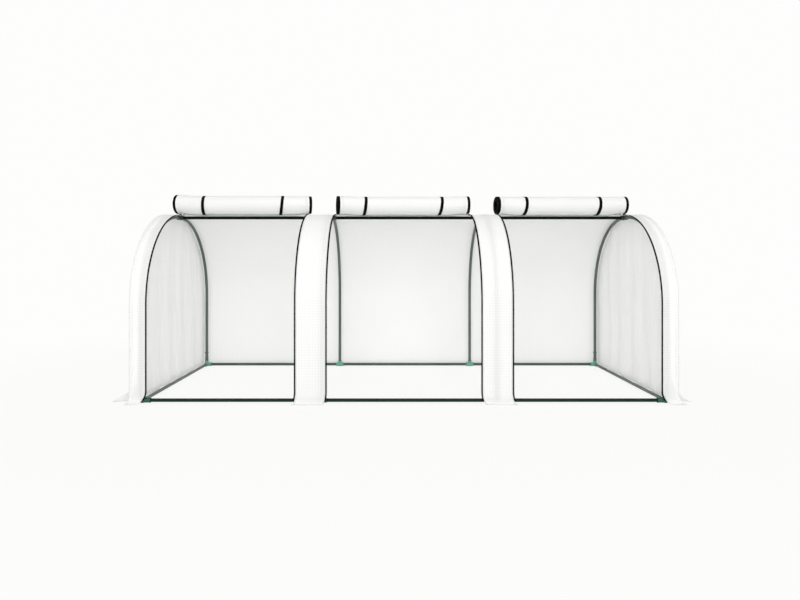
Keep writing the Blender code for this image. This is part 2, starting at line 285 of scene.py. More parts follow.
floor_finish, graph = new_finish("pale floor")
point = graph.place()
grain = graph.noise(point, 60.0, 4.0).ramp(0.3, 0.7)
matt = graph.shader(Base_Color=graph.tint(grain, (0.82, 0.82, 0.81), (0.84, 0.84, 0.83)), Roughness=0.9)
pale = graph.node("ShaderNodeEmission", inputs={"Color": (BACKDROP, BACKDROP, BACKDROP * 0.995, 1.0)})
away = graph.node("ShaderNodeVectorMath", {"operation": "LENGTH"}, {0: point}, output=1)
share = seen(graph) * (FLOOR_NEAR + (1 - FLOOR_NEAR) * away.ramp(*FAR_FLOOR))
graph.wear(graph.node("ShaderNodeMixShader", inputs={0: share, 1: matt, 2: pale}))

bm = bmesh.new()
bmesh.ops.create_grid(bm, x_segments=8, y_segments=8, size=FLOOR_REACH)
floor_mesh = bpy.data.meshes.new("studio_floor")
bm.to_mesh(floor_mesh)
bm.free()
floor_mesh.materials.append(floor_finish)
floor = bpy.data.objects.new("studio_floor", floor_mesh)
bpy.context.scene.collection.objects.link(floor)
floor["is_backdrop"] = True
print("floor is", round(floor.dimensions.x), "m wide")

# %% Room and lamps
ROOM_LIGHT = 0.61
AIM = Vector((0.0, 0.0, 0.4))  # what every lamp points at
LAMPS = {
    "low_front_lamp": ((0.0, -4.5, 0.75), (4.5, 1.2), 44.0),
    "high_front_lamp": ((0.0, -2.8, 4.2), (3.0, 3.0), 65.0),
    "front_left_lamp": ((-3.6, -3.6, 0.9), (2.0, 1.4), 19.0),
    "front_right_lamp": ((3.6, -3.6, 0.9), (2.0, 1.4), 21.0),
    "back_left_lamp": ((-4.0, 2.0, 0.8), (2.0, 1.4), 24.0),
    "back_right_lamp": ((4.0, 2.0, 0.8), (2.0, 1.4), 28.0),
    "low_back_lamp": ((0.0, 3.2, 0.45), (4.5, 0.8), 37.0),
}
room = bpy.data.worlds.new("pale room")
room.use_nodes = True
room.node_tree.nodes.clear()
graph = Graph(room.node_tree)
strength = ROOM_LIGHT + seen(graph) * (BACKDROP - ROOM_LIGHT)
air = graph.node("ShaderNodeBackground", inputs={"Color": (1.0, 1.0, 0.995, 1.0), "Strength": strength})
graph.node("ShaderNodeOutputWorld", inputs={"Surface": air})
bpy.context.scene.world = room

for name, (place, size, power) in LAMPS.items():
    light = bpy.data.lights.new(name, "AREA")
    light.shape = "RECTANGLE"
    light.size, light.size_y = size
    light.energy = power
    lamp = bpy.data.objects.new(name, light)
    lamp.location = place
    lamp.rotation_euler = (Vector(place) - AIM).to_track_quat("Z", "Y").to_euler()
    bpy.context.scene.collection.objects.link(lamp)
print("lamps:", ", ".join(LAMPS))

# %% [markdown]
# ## The finishes
#
# The hoops and rails are thin steel tube under a dark green powder coat, which has a fine orange
# peel and is worn a little paler in small spots. On the ridge the same coat is painted nearly black,
# as painted shade, and on the back rail it is painted lighter, as painted light. The hoops and end
# rails have a paler, greyer coat. The connectors are moulded in one green plastic with a faintly
# mottled, satin skin: pale on the ground at the back, and painted shade makes it deeper in front and
# darkest on the ridge. One function makes each kind of finish, so the shades are only numbers in its calls.

# %% Powder coat and moulded plastic
def powder_coat(name, first, second, worn, roughness, gloss):
    """A coat of two near shades with an orange peel, rubbed paler in small spots."""
    finish, graph = new_finish(name)
    point = graph.place()
    peel = graph.noise(point, 900.0, 2.0)
    blotch = graph.noise(point, 9.0, 3.0)
    rubs = graph.noise(point, 70.0, 6.0, 0.7).ramp(0.66, 0.80)
    green = graph.tint(blotch.ramp(0.3, 0.7), first, second)
    graph.wear(graph.shader(
        Base_Color=graph.tint(rubs * 0.35, green, worn),
        Roughness=roughness + 0.12 * blotch + 0.15 * rubs,
        Specular_IOR_Level=gloss,
        Normal=graph.relief(peel, 0.00012),
    ))
    return finish


def moulded_plastic(name, first, second):
    """A satin, faintly mottled skin."""
    finish, graph = new_finish(name)
    point = graph.place()
    skin = graph.noise(point, 1400.0, 2.0)
    mottle = graph.noise(point, 45.0, 4.0)
    graph.wear(graph.shader(
        Base_Color=graph.tint(mottle.ramp(0.25, 0.75), first, second),
        Roughness=0.38 + 0.16 * mottle,
        Specular_IOR_Level=0.4,
        Normal=graph.relief(skin, 0.00010),
    ))
    return finish


print("coats and plastics can be made")

# %% The coats and the plastics
# each coat's two shades, its worn shade, its roughness and its gloss
COATS = {
    "dark green coat": ((0.006, 0.021, 0.015), (0.010, 0.028, 0.020), (0.040, 0.066, 0.054), 0.45, 0.10),
    # the ridge's coat: the same green, painted nearly black as painted shade
    "ridge coat in painted shade": ((0.002, 0.008, 0.005), (0.003, 0.010, 0.007), (0.015, 0.030, 0.024), 0.50, 0.06),
    # the hoops and end rails: a paler, greyer coat than the rails'
    "pale grey green coat": ((0.080, 0.103, 0.092), (0.098, 0.123, 0.111), (0.150, 0.175, 0.163), 0.38, 0.5),
    # the back rail's coat: the same green, painted lighter as painted light
    "green coat": ((0.050, 0.076, 0.064), (0.064, 0.094, 0.080), (0.105, 0.135, 0.120), 0.38, 0.4),
}
dark_tube, shaded_ridge_coat, pale_tube, back_rail_painted_light = [powder_coat(name, *look) for name, look in COATS.items()]
pale_connector = moulded_plastic("pale green plastic", (0.120, 0.380, 0.255), (0.150, 0.430, 0.305))
# the same green plastic, painted deeper in front and deepest on the ridge: painted shade
front_connector_painted_shade = moulded_plastic("green plastic in painted shade", (0.010, 0.083, 0.048), (0.015, 0.105, 0.063))
ridge_connector_painted_shade = moulded_plastic("green plastic in deep painted shade", (0.016, 0.045, 0.034), (0.024, 0.058, 0.044))
print("coats:", ", ".join(COATS))

# %% [markdown]
# The cover is woven from flat plastic tapes and coated on both sides. Every 12.5 mm a thicker
# reinforcing tape runs each way, which makes the fine grid that one sees on it. Light comes
# through it softly, so its shader is part matt surface and part translucent, and a small share
# of each face lets the eye straight through. The denser grid lines pass less light, and a roll of
# many layers passes next to none.
#
# The weave could be drawn from the piece's own UV map, in metres along and across the cloth. On
# the short strips between the ridge seam and the rolls it is drawn from the place instead: X along
# the tunnel, and the length of arc about the bend centre.

# %% Woven sheet
GRID_PITCH = 0.0125
GRID_WIDTH = 0.0016
WEAVE_PITCH = 0.0025
THROUGH_LIGHT = 0.28
HEM_WIDTH = 0.018


def grid_lines(run):
    """1 on the lines of the grid, with soft edges."""
    width = GRID_WIDTH / GRID_PITCH
    return ((run / GRID_PITCH).fraction() - 0.5).size().ramp(0.5 - width, 0.5 - width / 3)


def woven_sheet(graph, point, across, along, through=THROUGH_LIGHT, clear=0.20, hem=0.0):
    """The coated cloth, from its two directions in metres, the light it passes and where it is doubled."""
    lines_one = grid_lines(across)
    lines_two = grid_lines(along)
    grid = lines_one + lines_two - lines_one * lines_two
    tapes = graph.wave(across, WEAVE_PITCH) * graph.wave(along, WEAVE_PITCH)
    uneven = graph.noise(point, 5.0, 4.0)
    white = graph.tint(uneven.ramp(0.3, 0.7), (0.926, 0.927, 0.917), (0.937, 0.938, 0.929))
    white = graph.tint(grid, white, (0.951, 0.952, 0.943))
    # a hem is painted grey, most on the grid lines along it: painted shade for the light that its second
    # layer holds back
    white = graph.tint(hem * (0.30 + 0.70 * lines_two), white, (0.800, 0.806, 0.790))
    matt = graph.shader(
        Base_Color=white,
        Roughness=0.50 + 0.10 * uneven - 0.08 * grid,
        Alpha=((1 - clear) + 0.3 * clear * grid + clear * hem).at_most(1.0),
        Normal=graph.relief(grid + tapes * 0.2 + 0.4 * uneven, 0.00008),
    )
    glow = graph.node("ShaderNodeBsdfTranslucent", inputs={"Color": (0.950, 0.952, 0.943, 1.0)})
    share = (through - 0.15 * through * grid) * (1 - 0.5 * hem)
    return graph.node("ShaderNodeMixShader", inputs={0: share, 1: matt, 2: glow})


print("a grid line every", 1000 * GRID_PITCH, "mm")

# %% The finishes of the cover and the doors
def sewn_cloth(name, through, clear, hem_place=None):
    """Cloth that reads its own UV map, in metres, with a hem at that distance from the middle."""
    finish, graph = new_finish(name)
    cloth, (across, along) = graph.cloth_place()
    hem = 0.0
    if hem_place:
        away = across.size()
        hem = away.ramp(hem_place, hem_place + 0.0008) - away.ramp(hem_place + 0.030, hem_place + 0.031)
    graph.wear(woven_sheet(graph, cloth, across, along, through, clear, hem))
    return finish


HEM_PLACE = COVER_HALF_LENGTH - HEM_WIDTH
cover_finish = sewn_cloth("woven white sheet", THROUGH_LIGHT, 0.20, HEM_PLACE)
band_finish = sewn_cloth("woven white sheet of the bands", THROUGH_LIGHT, 0.26, HEM_PLACE)
rolled_finish = sewn_cloth("woven white sheet in a roll", 0.20, 0.0)

unrolled_finish, graph = new_finish("woven white sheet round the bend")
point = graph.place()
x, y, z = graph.parts(point)
turn = graph.node("ShaderNodeMath", {"operation": "ARCTAN2"}, {0: y + RIDGE_FLAT, 1: z - BEND_HEIGHT})
graph.wear(woven_sheet(graph, point, x, turn * COVER_RADIUS))
print("finishes:", cover_finish.name, "and", unrolled_finish.name)

# %% [markdown]
# The zips have a black woven tape with moulded teeth. The straps are black webbing, ribbed across
# in a fine herringbone. The sliders are die cast and painted black, worn bright in a few spots.
# All seams are sewn in white thread.

# %% Zip tape and teeth
zip_finish, graph = new_finish("black zip tape")
point = graph.place()
ribs = graph.wave(graph.parts(point, 1)[0], 0.0011)
fuzz = graph.noise(point, 500.0, 3.0)
graph.wear(graph.shader(
    Base_Color=graph.tint(fuzz.ramp(0.3, 0.8), (0.002, 0.002, 0.002), (0.005, 0.005, 0.005)),
    Roughness=0.85,
    Specular_IOR_Level=0.03,
    Normal=graph.relief(ribs + fuzz, 0.00012),
))

teeth_finish, graph = new_finish("black moulded teeth")
specks = graph.noise(graph.place(), 300.0, 3.0)
graph.wear(graph.shader(
    Base_Color=graph.tint(specks.ramp(0.4, 0.8), (0.004, 0.004, 0.005), (0.010, 0.010, 0.011)),
    Roughness=0.45 + 0.2 * specks,
    Specular_IOR_Level=0.12,
    Normal=graph.relief(specks, 0.00005),
))

print("finishes:", zip_finish.name, "and", teeth_finish.name)

# %% Webbing, slider and thread
strap_finish, graph = new_finish("black webbing")
cloth, (across, along) = graph.cloth_place()
slant = ((across / 0.005).fraction() - 0.5).size() * 0.005
rib = graph.wave(along + slant, 0.0018)
fuzz = graph.noise(cloth, 700.0, 3.0)
shade = (0.5 + 0.5 * rib) * 0.6 + 0.4 * fuzz
graph.wear(graph.shader(
    Base_Color=graph.tint(shade, (0.002, 0.002, 0.002), (0.006, 0.006, 0.006)),
    Roughness=0.85,
    Specular_IOR_Level=0.05,
    Normal=graph.relief(rib + 0.5 * fuzz, 0.0003),
))

slider_finish, graph = new_finish("painted slider")
chips = graph.noise(graph.place(), 420.0, 5.0, 0.7).ramp(0.64, 0.72)
graph.wear(graph.shader(
    Base_Color=graph.tint(chips, (0.022, 0.022, 0.024), (0.30, 0.29, 0.27)),
    Metallic=0.3 + 0.6 * chips,
    Roughness=0.30 + 0.1 * chips,
    Coat_Weight=0.3,
))

thread_finish, graph = new_finish("white thread")
x, y, z = graph.parts(graph.place())
ply = graph.wave(x + y + z, 0.0006)
graph.wear(graph.shader(
    Base_Color=graph.tint(0.5 + 0.5 * ply, (0.80, 0.80, 0.78), (0.93, 0.93, 0.91)),
    Roughness=0.6,
    Normal=graph.relief(ply, 0.00008),
))
print("finishes made:", len(bpy.data.materials))

# %% [markdown]
# ## Pieces and bodies
#
# Every finished piece lies at the origin with its place in its mesh, as the CAD nodes do. One
# helper makes the object, and one hangs it on its body and hides the CAD nodes that it stands for.

# %% Making and fitting a piece
def new_piece(name, mesh, *finishes):
    piece = bpy.data.objects.new(name, mesh)
    mesh.name = name
    for finish in finishes:
        mesh.materials.append(finish)
    bpy.context.scene.collection.objects.link(piece)
    return piece


def fit(piece, body, slot, *nodes):
    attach(piece, body)
    if nodes:
        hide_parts(*nodes)


def give_thickness(piece, thickness, offset=0.0):
    modifier = piece.modifiers.new("thickness", "SOLIDIFY")
    modifier.thickness = thickness
    modifier.offset = offset
    modifier.use_even_offset = True


def cut_away(piece, cutter):
    """Cuts the cutter's shape out of the piece, once the piece is settled."""
    cut = piece.modifiers.new("cut", "BOOLEAN")
    cut.operation = "DIFFERENCE"
    cut.object = cutter


def settle(piece):
    """Keeps what the modifiers make as the piece's own mesh."""
    graph = bpy.context.evaluated_depsgraph_get()
    mesh = bpy.data.meshes.new_from_object(piece.evaluated_get(graph))
    piece.modifiers.clear()
    piece.data = mesh
    return piece


print("helpers are ready")

# %% [markdown]
# ## Shapes grown by Geometry Nodes
#
# A hoop follows a rule: a short flat, a quarter turn and a straight leg. It could be drawn point by
# point, but a tree of nodes holds the rule itself, with a named input for each size, so every hoop
# comes from the same tree. A piece gets the tree as a modifier, its inputs are set by their
# identifiers, and the result is kept as a plain mesh.

# %% Building and running a tree
def new_tree(name, sizes):
    """A tree with a geometry input and a named input for each size, and the inputs as values."""
    tree = bpy.data.node_groups.new(name, "GeometryNodeTree")
    tree.interface.new_socket("Geometry", in_out="INPUT", socket_type="NodeSocketGeometry")
    for label, kind in sizes.items():
        tree.interface.new_socket(label, in_out="INPUT", socket_type=f"NodeSocket{kind}")
    tree.interface.new_socket("Geometry", in_out="OUTPUT", socket_type="NodeSocketGeometry")
    graph = Graph(tree)
    source = tree.nodes.new("NodeGroupInput")
    return graph, {socket.name: Value(graph, socket) for socket in source.outputs if socket.name}


def end_tree(graph, geometry, finish):
    """Every tree ends by realising its instances and giving them their finish."""
    whole = graph.node("GeometryNodeRealizeInstances", inputs={0: geometry})
    dressed = graph.node("GeometryNodeSetMaterial", inputs={"Geometry": whole, "Material": finish})
    graph.node("NodeGroupOutput", inputs={0: dressed})
    return graph.tree


def grow(name, tree, base=None, **sizes):
    """A piece made by the tree from a base mesh, as a plain mesh."""
    piece = new_piece(name, base or bpy.data.meshes.new(name))
    modifier = piece.modifiers.new("grown", "NODES")
    modifier.node_group = tree
    for item in tree.interface.items_tree:
        key = item.name.replace(" ", "_")
        if item.in_out == "INPUT" and key in sizes:
            modifier[item.identifier] = sizes[key]
    return settle(piece)


def shade_round(mesh, degrees=35):
    mesh.shade_smooth()
    mesh.set_sharp_from_angle(angle=math.radians(degrees))


print("trees can be grown")

# %% A round tube along a line
ROUND_SIDES = 24
TUBE_WALL = 0.0006


def tube_along(graph, line, radius, **more):
    """A round tube along the line."""
    inputs = {"Resolution": ROUND_SIDES, "Radius": radius}
    ring = graph.node("GeometryNodeCurvePrimitiveCircle", inputs=inputs)
    return graph.node("GeometryNodeCurveToMesh", inputs={"Curve": line, "Profile Curve": ring, **more})


def fit_tube(piece, node):
    """Rounds a grown tube, gives it its wall and fits it to the frame."""
    shade_round(piece.data)
    give_thickness(piece, TUBE_WALL, -1.0)
    fit(piece, FRAME_BODY, "tube", node)


print("a tube is", round(2000 * TUBE_RADIUS), "mm thick with a wall of", 1000 * TUBE_WALL, "mm")

# %% The tree of half a hoop
RINGS = 120
FOOT_REACH = 0.080  # the last stretch of a leg, where the rings are closer
UPPER_RINGS = 0.6
# heights above the rail on an end hoop's foot, and how much thicker the tube is there
FOOT_HEIGHTS = (0.0235, 0.0255, 0.0560, 0.0680, 0.0695, 0.0755, 0.0770)
FOOT_SWELLS = (1.00, 1.22, 1.06, 1.06, 1.38, 1.38, 1.00)

graph, sizes = new_tree("half hoop", {
    "Place": "Float", "Side": "Float", "Start": "Float", "Flat": "Float", "Bend Radius": "Float",
    "Bend Height": "Float", "Foot Height": "Float", "Foot": "Float", "Tube Radius": "Float",
    "Finish": "Material",
})
line = graph.node("GeometryNodeCurvePrimitiveLine")
line = graph.node("GeometryNodeResampleCurve", {"mode": "COUNT"}, {"Curve": line, "Count": RINGS})
order = graph.node("GeometryNodeInputIndex") / (RINGS - 1)
flat = sizes["Flat"] - sizes["Start"]
bend = sizes["Bend Radius"] * (math.pi / 2)
leg = sizes["Bend Height"] - sizes["Foot Height"]
upper = flat + bend + leg - FOOT_REACH
run = order.ramp(0.0, UPPER_RINGS, False) * upper + order.ramp(UPPER_RINGS, 1.0, False) * FOOT_REACH
turn = ((run - flat) / bend).at_least(0.0).at_most(1.0) * (math.pi / 2)
out = sizes["Start"] + run.at_most(flat) + sizes["Bend Radius"] * turn.sine()
height = sizes["Bend Height"] + sizes["Bend Radius"] * turn.cosine() - (run - flat - bend).at_least(0.0)
swell = 1.0
above = height - RAIL_HEIGHT
for index in range(len(FOOT_HEIGHTS) - 1):
    step = FOOT_SWELLS[index + 1] - FOOT_SWELLS[index]
    if step:
        swell = above.ramp(FOOT_HEIGHTS[index], FOOT_HEIGHTS[index + 1]) * step + swell
swell = (swell - 1.0) * sizes["Foot"] + 1.0
inputs = {"X": sizes["Place"], "Y": out * sizes["Side"], "Z": height}
point = graph.node("ShaderNodeCombineXYZ", inputs=inputs)
line = graph.node("GeometryNodeSetPosition", inputs={"Geometry": line, "Position": point})
tube = tube_along(graph, line, sizes["Tube Radius"], Scale=swell)
hoop_tree = end_tree(graph, tube, sizes["Finish"])
print("the hoop's tree has", len(hoop_tree.nodes), "nodes")

# %% The four hoops
for number, place in enumerate(HOOP_PLACES, 1):
    for side, side_name in ((-1.0, "front"), (1.0, "back")):
        half = grow(
            f"hoop_{number}_{side_name}_tube",
            hoop_tree,
            Place=place,
            Side=side,
            Start=TUBE_START,
            Flat=RIDGE_FLAT,
            Bend_Radius=BEND_RADIUS,
            Bend_Height=BEND_HEIGHT,
            Foot_Height=RAIL_HEIGHT + TUBE_START,
            Foot=1.0 if number in (1, 4) else 0.0,
            Tube_Radius=TUBE_RADIUS,
            Finish=pale_tube,
        )
        fit_tube(half, f"hoop_{number}_{side_name}_half")
print("each half hoop has", len(half.data.polygons), "faces")

# %% [markdown]
# ## The straight tubes
#
# Three lengths run along the ridge and along each base side, and one joins each pair of corners.
# They push into the connectors. The same round section is drawn between two points.

# %% Rails and ridge
kinds = {"Start": "Vector", "End": "Vector", "Tube Radius": "Float", "Finish": "Material"}
graph, sizes = new_tree("straight tube", kinds)
line = graph.node("GeometryNodeCurvePrimitiveLine", inputs={"Start": sizes["Start"], "End": sizes["End"]})
line = graph.node("GeometryNodeResampleCurve", {"mode": "COUNT"}, {"Curve": line, "Count": 24})
straight_tree = end_tree(graph, tube_along(graph, line, sizes["Tube Radius"]), sizes["Finish"])


def straight_tube(name, start, end, finish, node):
    piece = grow(name, straight_tree, Start=start, End=end, Tube_Radius=TUBE_RADIUS, Finish=finish)
    fit_tube(piece, node)


lines = {
    # the ridge tube's coat is painted shade, the back rail's is painted light
    "ridge_tube": (0.0, RIDGE_HEIGHT, shaded_ridge_coat),
    "front_rail": (-HALF_WIDTH, RAIL_HEIGHT, dark_tube),
    "back_rail": (HALF_WIDTH, RAIL_HEIGHT, back_rail_painted_light),
}
for name, (y, z, finish) in lines.items():
    for bay in range(3):
        start = (HOOP_PLACES[bay] + TUBE_START, y, z)
        end = (HOOP_PLACES[bay + 1] - TUBE_START, y, z)
        straight_tube(f"{name}_length_{bay + 1}", start, end, finish, f"{name}_{bay + 1}")
reach = HALF_WIDTH - TUBE_START
for side_name, place in (("left", HOOP_PLACES[0]), ("right", HOOP_PLACES[-1])):
    start = (place, -reach, RAIL_HEIGHT)
    end = (place, reach, RAIL_HEIGHT)
    straight_tube(f"base_tube_{side_name}", start, end, pale_tube, f"end_rail_{side_name}")
print("straight tubes: 11")

# %% [markdown]
# ## The moulded connectors
#
# Each connector is a few short sockets moulded in one piece: corners and tees on the ground, tees
# and crosses on the ridge. The arms could be joined by booleans, which leaves knife-sharp inside
# corners. A real moulding has small fillets there, and remeshing the joined arms in fine voxels
# and smoothing them gives just that. The bores are cut afterwards, so they stay true.

# %% Turned solids
UP = (0, 0, 1)


def turned(bm, profile, centre, direction, sides):
    """A closed solid turned about the direction, from radii and heights that start and end on the axis."""
    turn = Vector(UP).rotation_difference(Vector(direction)).to_matrix()
    rings = []
    for radius, height in profile:
        if radius == 0:
            rings.append([bm.verts.new(turn @ Vector((0, 0, height)) + Vector(centre))])
            continue
        ring = []
        for side in range(sides):
            angle = 2 * math.pi * side / sides
            local = Vector((radius * math.cos(angle), radius * math.sin(angle), height))
            ring.append(bm.verts.new(turn @ local + Vector(centre)))
        rings.append(ring)
    for first, second in zip(rings, rings[1:]):
        for side in range(sides):
            following = (side + 1) % sides
            corners = [first[side % len(first)], first[following % len(first)]]
            corners += [second[following % len(second)], second[side % len(second)]]
            bm.faces.new(list(dict.fromkeys(corners)))


def mesh_from(bm, name):
    bmesh.ops.recalc_face_normals(bm, faces=bm.faces)
    mesh = bpy.data.meshes.new(name)
    bm.to_mesh(mesh)
    bm.free()
    return mesh


print("solids can be turned about", UP, "or any other direction")

# %% The arm of a connector
RIM_RADIUS = 0.01188
SLEEVE_RADIUS = 0.01095
SOCKET_REACH = 0.022  # from the middle of a connector to a socket's mouth
RIM_WIDTH = 0.003
RIM_ROUNDING = 0.0005


def arm_profile(back, reach):
    """From behind the centre out to the rim at the mouth, its corners rounded."""
    soft = RIM_ROUNDING
    neck = reach - RIM_WIDTH
    return [
        (0, back),
        (SLEEVE_RADIUS - soft * 2, back),
        (SLEEVE_RADIUS, back + soft * 2),
        (SLEEVE_RADIUS, neck),
        (RIM_RADIUS - soft, neck + soft / 2),
        (RIM_RADIUS, neck + soft),
        (RIM_RADIUS, reach - soft),
        (RIM_RADIUS - soft, reach),
        (0, reach),
    ]


print("an arm is turned from", len(arm_profile(0.0, SOCKET_REACH)), "points")

# %% Moulding a connector
SOCKET_FLOOR = 0.0095  # from the middle of a connector to the floor of a socket
BORE_RADIUS = 0.0083
BORE_MOUTH = 0.0090
CONNECTOR_VOXEL = 0.00055


def connector(name, node, centre, directions, finish, long_reach=SOCKET_REACH):
    """A moulding with an arm in each direction, those along X as long as the long reach."""
    reaches = [long_reach if direction[0] else SOCKET_REACH for direction in directions]
    bm = bmesh.new()
    for direction, reach in zip(directions, reaches):
        opposed = tuple(-value for value in direction) in directions
        turned(bm, arm_profile(-0.002 if opposed else -SLEEVE_RADIUS * 0.96, reach), centre, direction, 40)
    piece = new_piece(name, mesh_from(bm, name), finish)
    remesh = piece.modifiers.new("moulded", "REMESH")
    remesh.mode = "VOXEL"
    remesh.voxel_size = CONNECTOR_VOXEL
    remesh.use_smooth_shade = True
    fillet = piece.modifiers.new("fillets", "SMOOTH")
    fillet.factor = 0.5
    fillet.iterations = 5
    settle(piece)
    bm = bmesh.new()
    for direction, reach in zip(directions, reaches):
        bore = [(0, SOCKET_FLOOR), (BORE_RADIUS, SOCKET_FLOOR), (BORE_RADIUS, reach - 0.0006)]
        bore += [(BORE_MOUTH, reach + 0.0004), (BORE_MOUTH, reach + 0.002), (0, reach + 0.002)]
        turned(bm, bore, centre, direction, 32)
    cutter = new_piece(f"{name}_bores", mesh_from(bm, name))
    cut_away(piece, cutter)
    settle(piece)
    bpy.data.objects.remove(cutter)
    shade_round(piece.data, 50)
    fit(piece, FRAME_BODY, "connector", node)
    return piece


print("the voxels measure", 1000 * CONNECTOR_VOXEL, "mm")

# %% The twelve connectors
ALONG_X = ((1, 0, 0), (-1, 0, 0))
ALONG_Y = ((0, 1, 0), (0, -1, 0))
ENDS = ((HOOP_PLACES[0], 1, "left"), (HOOP_PLACES[-1], -1, "right"))
# the front mouldings take the plastic in painted shade
SIDES = ((-1, "front", front_connector_painted_shade, 0.036), (1, "back", pale_connector, 0.030))
for side, side_name, finish, reach in SIDES:
    y = side * HALF_WIDTH
    for place, towards, end in ENDS:
        node = f"corner_{side_name}_{end}"
        directions = [(towards, 0, 0), (0, -side, 0), UP]
        made = connector(f"{node}_moulding", node, (place, y, RAIL_HEIGHT), directions, finish, reach)
    for number in (2, 3):
        node = f"base_tee_{side_name}_{number}"
        centre = (HOOP_PLACES[number - 1], y, RAIL_HEIGHT)
        connector(f"{node}_moulding", node, centre, [UP, *ALONG_X], finish)
for place, towards, end in ENDS:
    node = f"ridge_tee_{end}"
    directions = [(towards, 0, 0), *ALONG_Y]
    connector(f"{node}_moulding", node, (place, 0, RIDGE_HEIGHT), directions, ridge_connector_painted_shade)
for number in (2, 3):
    node = f"ridge_cross_{number}"
    centre = (HOOP_PLACES[number - 1], 0, RIDGE_HEIGHT)
    connector(f"{node}_moulding", node, centre, [*ALONG_X, *ALONG_Y], ridge_connector_painted_shade)
print("a corner has", len(made.data.polygons), "faces")

# %% [markdown]
# ## The line of the cover
#
# Seen from the end, the cover runs flat over the ridge, round the bend, straight down and out over
# the ground in a skirt. All its sheets share this line, so it is worked out once, with the outward
# direction at each point for thickness, hems and creases, and the length along the cloth.

# %% The cover's line
COVER_LEG = RIDGE_FLAT + COVER_RADIUS
SHEET_LIES = 0.0006  # the height of a sheet that lies on the ground
LOWEST = 0.0004  # creases and hems don't go lower
SKIRT_BEND = (0.016, 0.0444)  # how far out and how high the skirt's bend is
SKIRT_REACH = 0.036


def cover_line(arc_steps=48):
    """Arrays from the end of the flat top down to the skirt's hem: place, outward direction, length."""
    turns = np.radians(np.linspace(0, 90, arc_steps + 1))
    out = RIDGE_FLAT + COVER_RADIUS * np.sin(turns)
    line = list(zip(out, BEND_HEIGHT + COVER_RADIUS * np.cos(turns)))
    line += [(COVER_LEG, height) for height in np.linspace(0.43, 0.05, 20)]
    for turn in np.radians(np.linspace(6, 90, 12)):
        out = COVER_LEG + SKIRT_BEND[0] * (1 - math.cos(turn))
        line.append((out, SHEET_LIES + SKIRT_BEND[1] * (1 - math.sin(turn))))
    line += [(COVER_LEG + spread, SHEET_LIES) for spread in np.linspace(0.020, SKIRT_REACH, 5)]
    points = np.array(line)
    steps = np.gradient(points, axis=0)
    steps /= np.linalg.norm(steps, axis=1)[:, None]
    outward = np.stack([-steps[:, 1], steps[:, 0]], axis=1)
    length = np.concatenate([[0], np.cumsum(np.linalg.norm(np.diff(points, axis=0), axis=1))])
    return points, outward, length


def follow(profile, run):
    """Out, height and the outward direction's two parts on a profile, at lengths along it."""
    points, outward, length = profile
    return [np.interp(run, length, values[:, part]) for values in (points, outward) for part in (0, 1)]


front_profile = cover_line()
line_points, line_outward, line_length = front_profile
CLOTH_END = line_length[-1]
print("from ridge seam to hem the cloth measures", round(CLOTH_END, 3), "m")

# %% Creases and cloth meshes
def creases(across, along, seed, longest, shortest, waves=10):
    """Soft unevenness from a few waves of set directions, from about -1 to 1."""
    chance = np.random.default_rng(seed)
    total = np.zeros(np.broadcast(across, along).shape)
    for _ in range(waves):
        pitch = longest * (shortest / longest) ** chance.random()
        angle = chance.random() * 2 * math.pi
        phase = chance.random() * 2 * math.pi
        run = across * math.cos(angle) + along * math.sin(angle)
        total += np.sin(2 * math.pi * run / pitch + phase)
    return total / math.sqrt(waves / 2) / 2


def cloth_mesh(name, points, across, along):
    """A grid mesh from its points by row and column, with a UV map in metres across and along the cloth."""
    rows, columns = points.shape[:2]
    order = np.arange(rows * columns).reshape(rows, columns)
    corners = [order[:-1, :-1], order[:-1, 1:], order[1:, 1:], order[1:, :-1]]
    quads = np.stack(corners, axis=-1).reshape(-1, 4)
    mesh = bpy.data.meshes.new(name)
    mesh.from_pydata(points.reshape(-1, 3).tolist(), [], quads.tolist())
    cloth = np.stack([across, along], axis=-1).reshape(-1, 2)
    uv = mesh.uv_layers.new(name="cloth")
    uv.data.foreach_set("uv", cloth[quads.ravel()].astype(np.float32).ravel())
    mesh.shade_smooth()
    return mesh


def smooth(share):
    """From 0 to 1 with soft ends."""
    share = np.clip(share, 0, 1)
    return share * share * (3 - 2 * share)


sample = creases(np.linspace(0, 1, 200), 0.0, 4, 0.60, 0.15)
print("creases run from", round(float(sample.min()), 2), "to", round(float(sample.max()), 2))

# %% [markdown]
# ## The roof and back
#
# One sheet runs from the seam in front of the ridge over the top and down the back. Between the
# hoops nothing holds it out, so it draws in by a few millimetres there, and over each door it sinks
# onto the ridge tube. Both ends are hemmed: the hem is a second layer, so the surface steps out by
# its thickness.

# %% Hems, bays and the ridge
HEM_STEP = 0.0007
HEM_EDGE = 0.0006  # the hem steps up over this width
SWING_REACH = 0.075  # the last stretch of a sheet at the front, where its hem may swing along X


def hem_rise(distance):
    """The step of a hem, from the distance to the cloth's edge."""
    return HEM_STEP * np.clip((HEM_WIDTH - distance) / HEM_EDGE, 0, 1)


def bay_draw(place):
    """From 0 at each hoop to 1 in the middle of a bay."""
    draw = np.zeros_like(place)
    for start, end in zip(HOOP_PLACES, HOOP_PLACES[1:]):
        share = np.clip((place - start) / (end - start), 0, 1)
        draw += np.sin(math.pi * share) ** 2
    return draw


def ridge_dip(place):
    """0 at the bands and up to 1 over each door."""
    return sum(smooth((np.minimum(place - start, end - place) - 0.012) / 0.075) for start, end in DOORS)


def with_hem(low, high, steps, left_hem=True, right_hem=True):
    """Places along X, with two close columns at the inner edge of each hem."""
    places = set(np.round(np.linspace(low, high, steps + 1), 5))
    for wanted, edge, inwards in ((left_hem, low, 1), (right_hem, high, -1)):
        if wanted:
            places |= {round(edge + inwards * inset, 5) for inset in (HEM_WIDTH, HEM_WIDTH - HEM_EDGE)}
    return np.array(sorted(places))


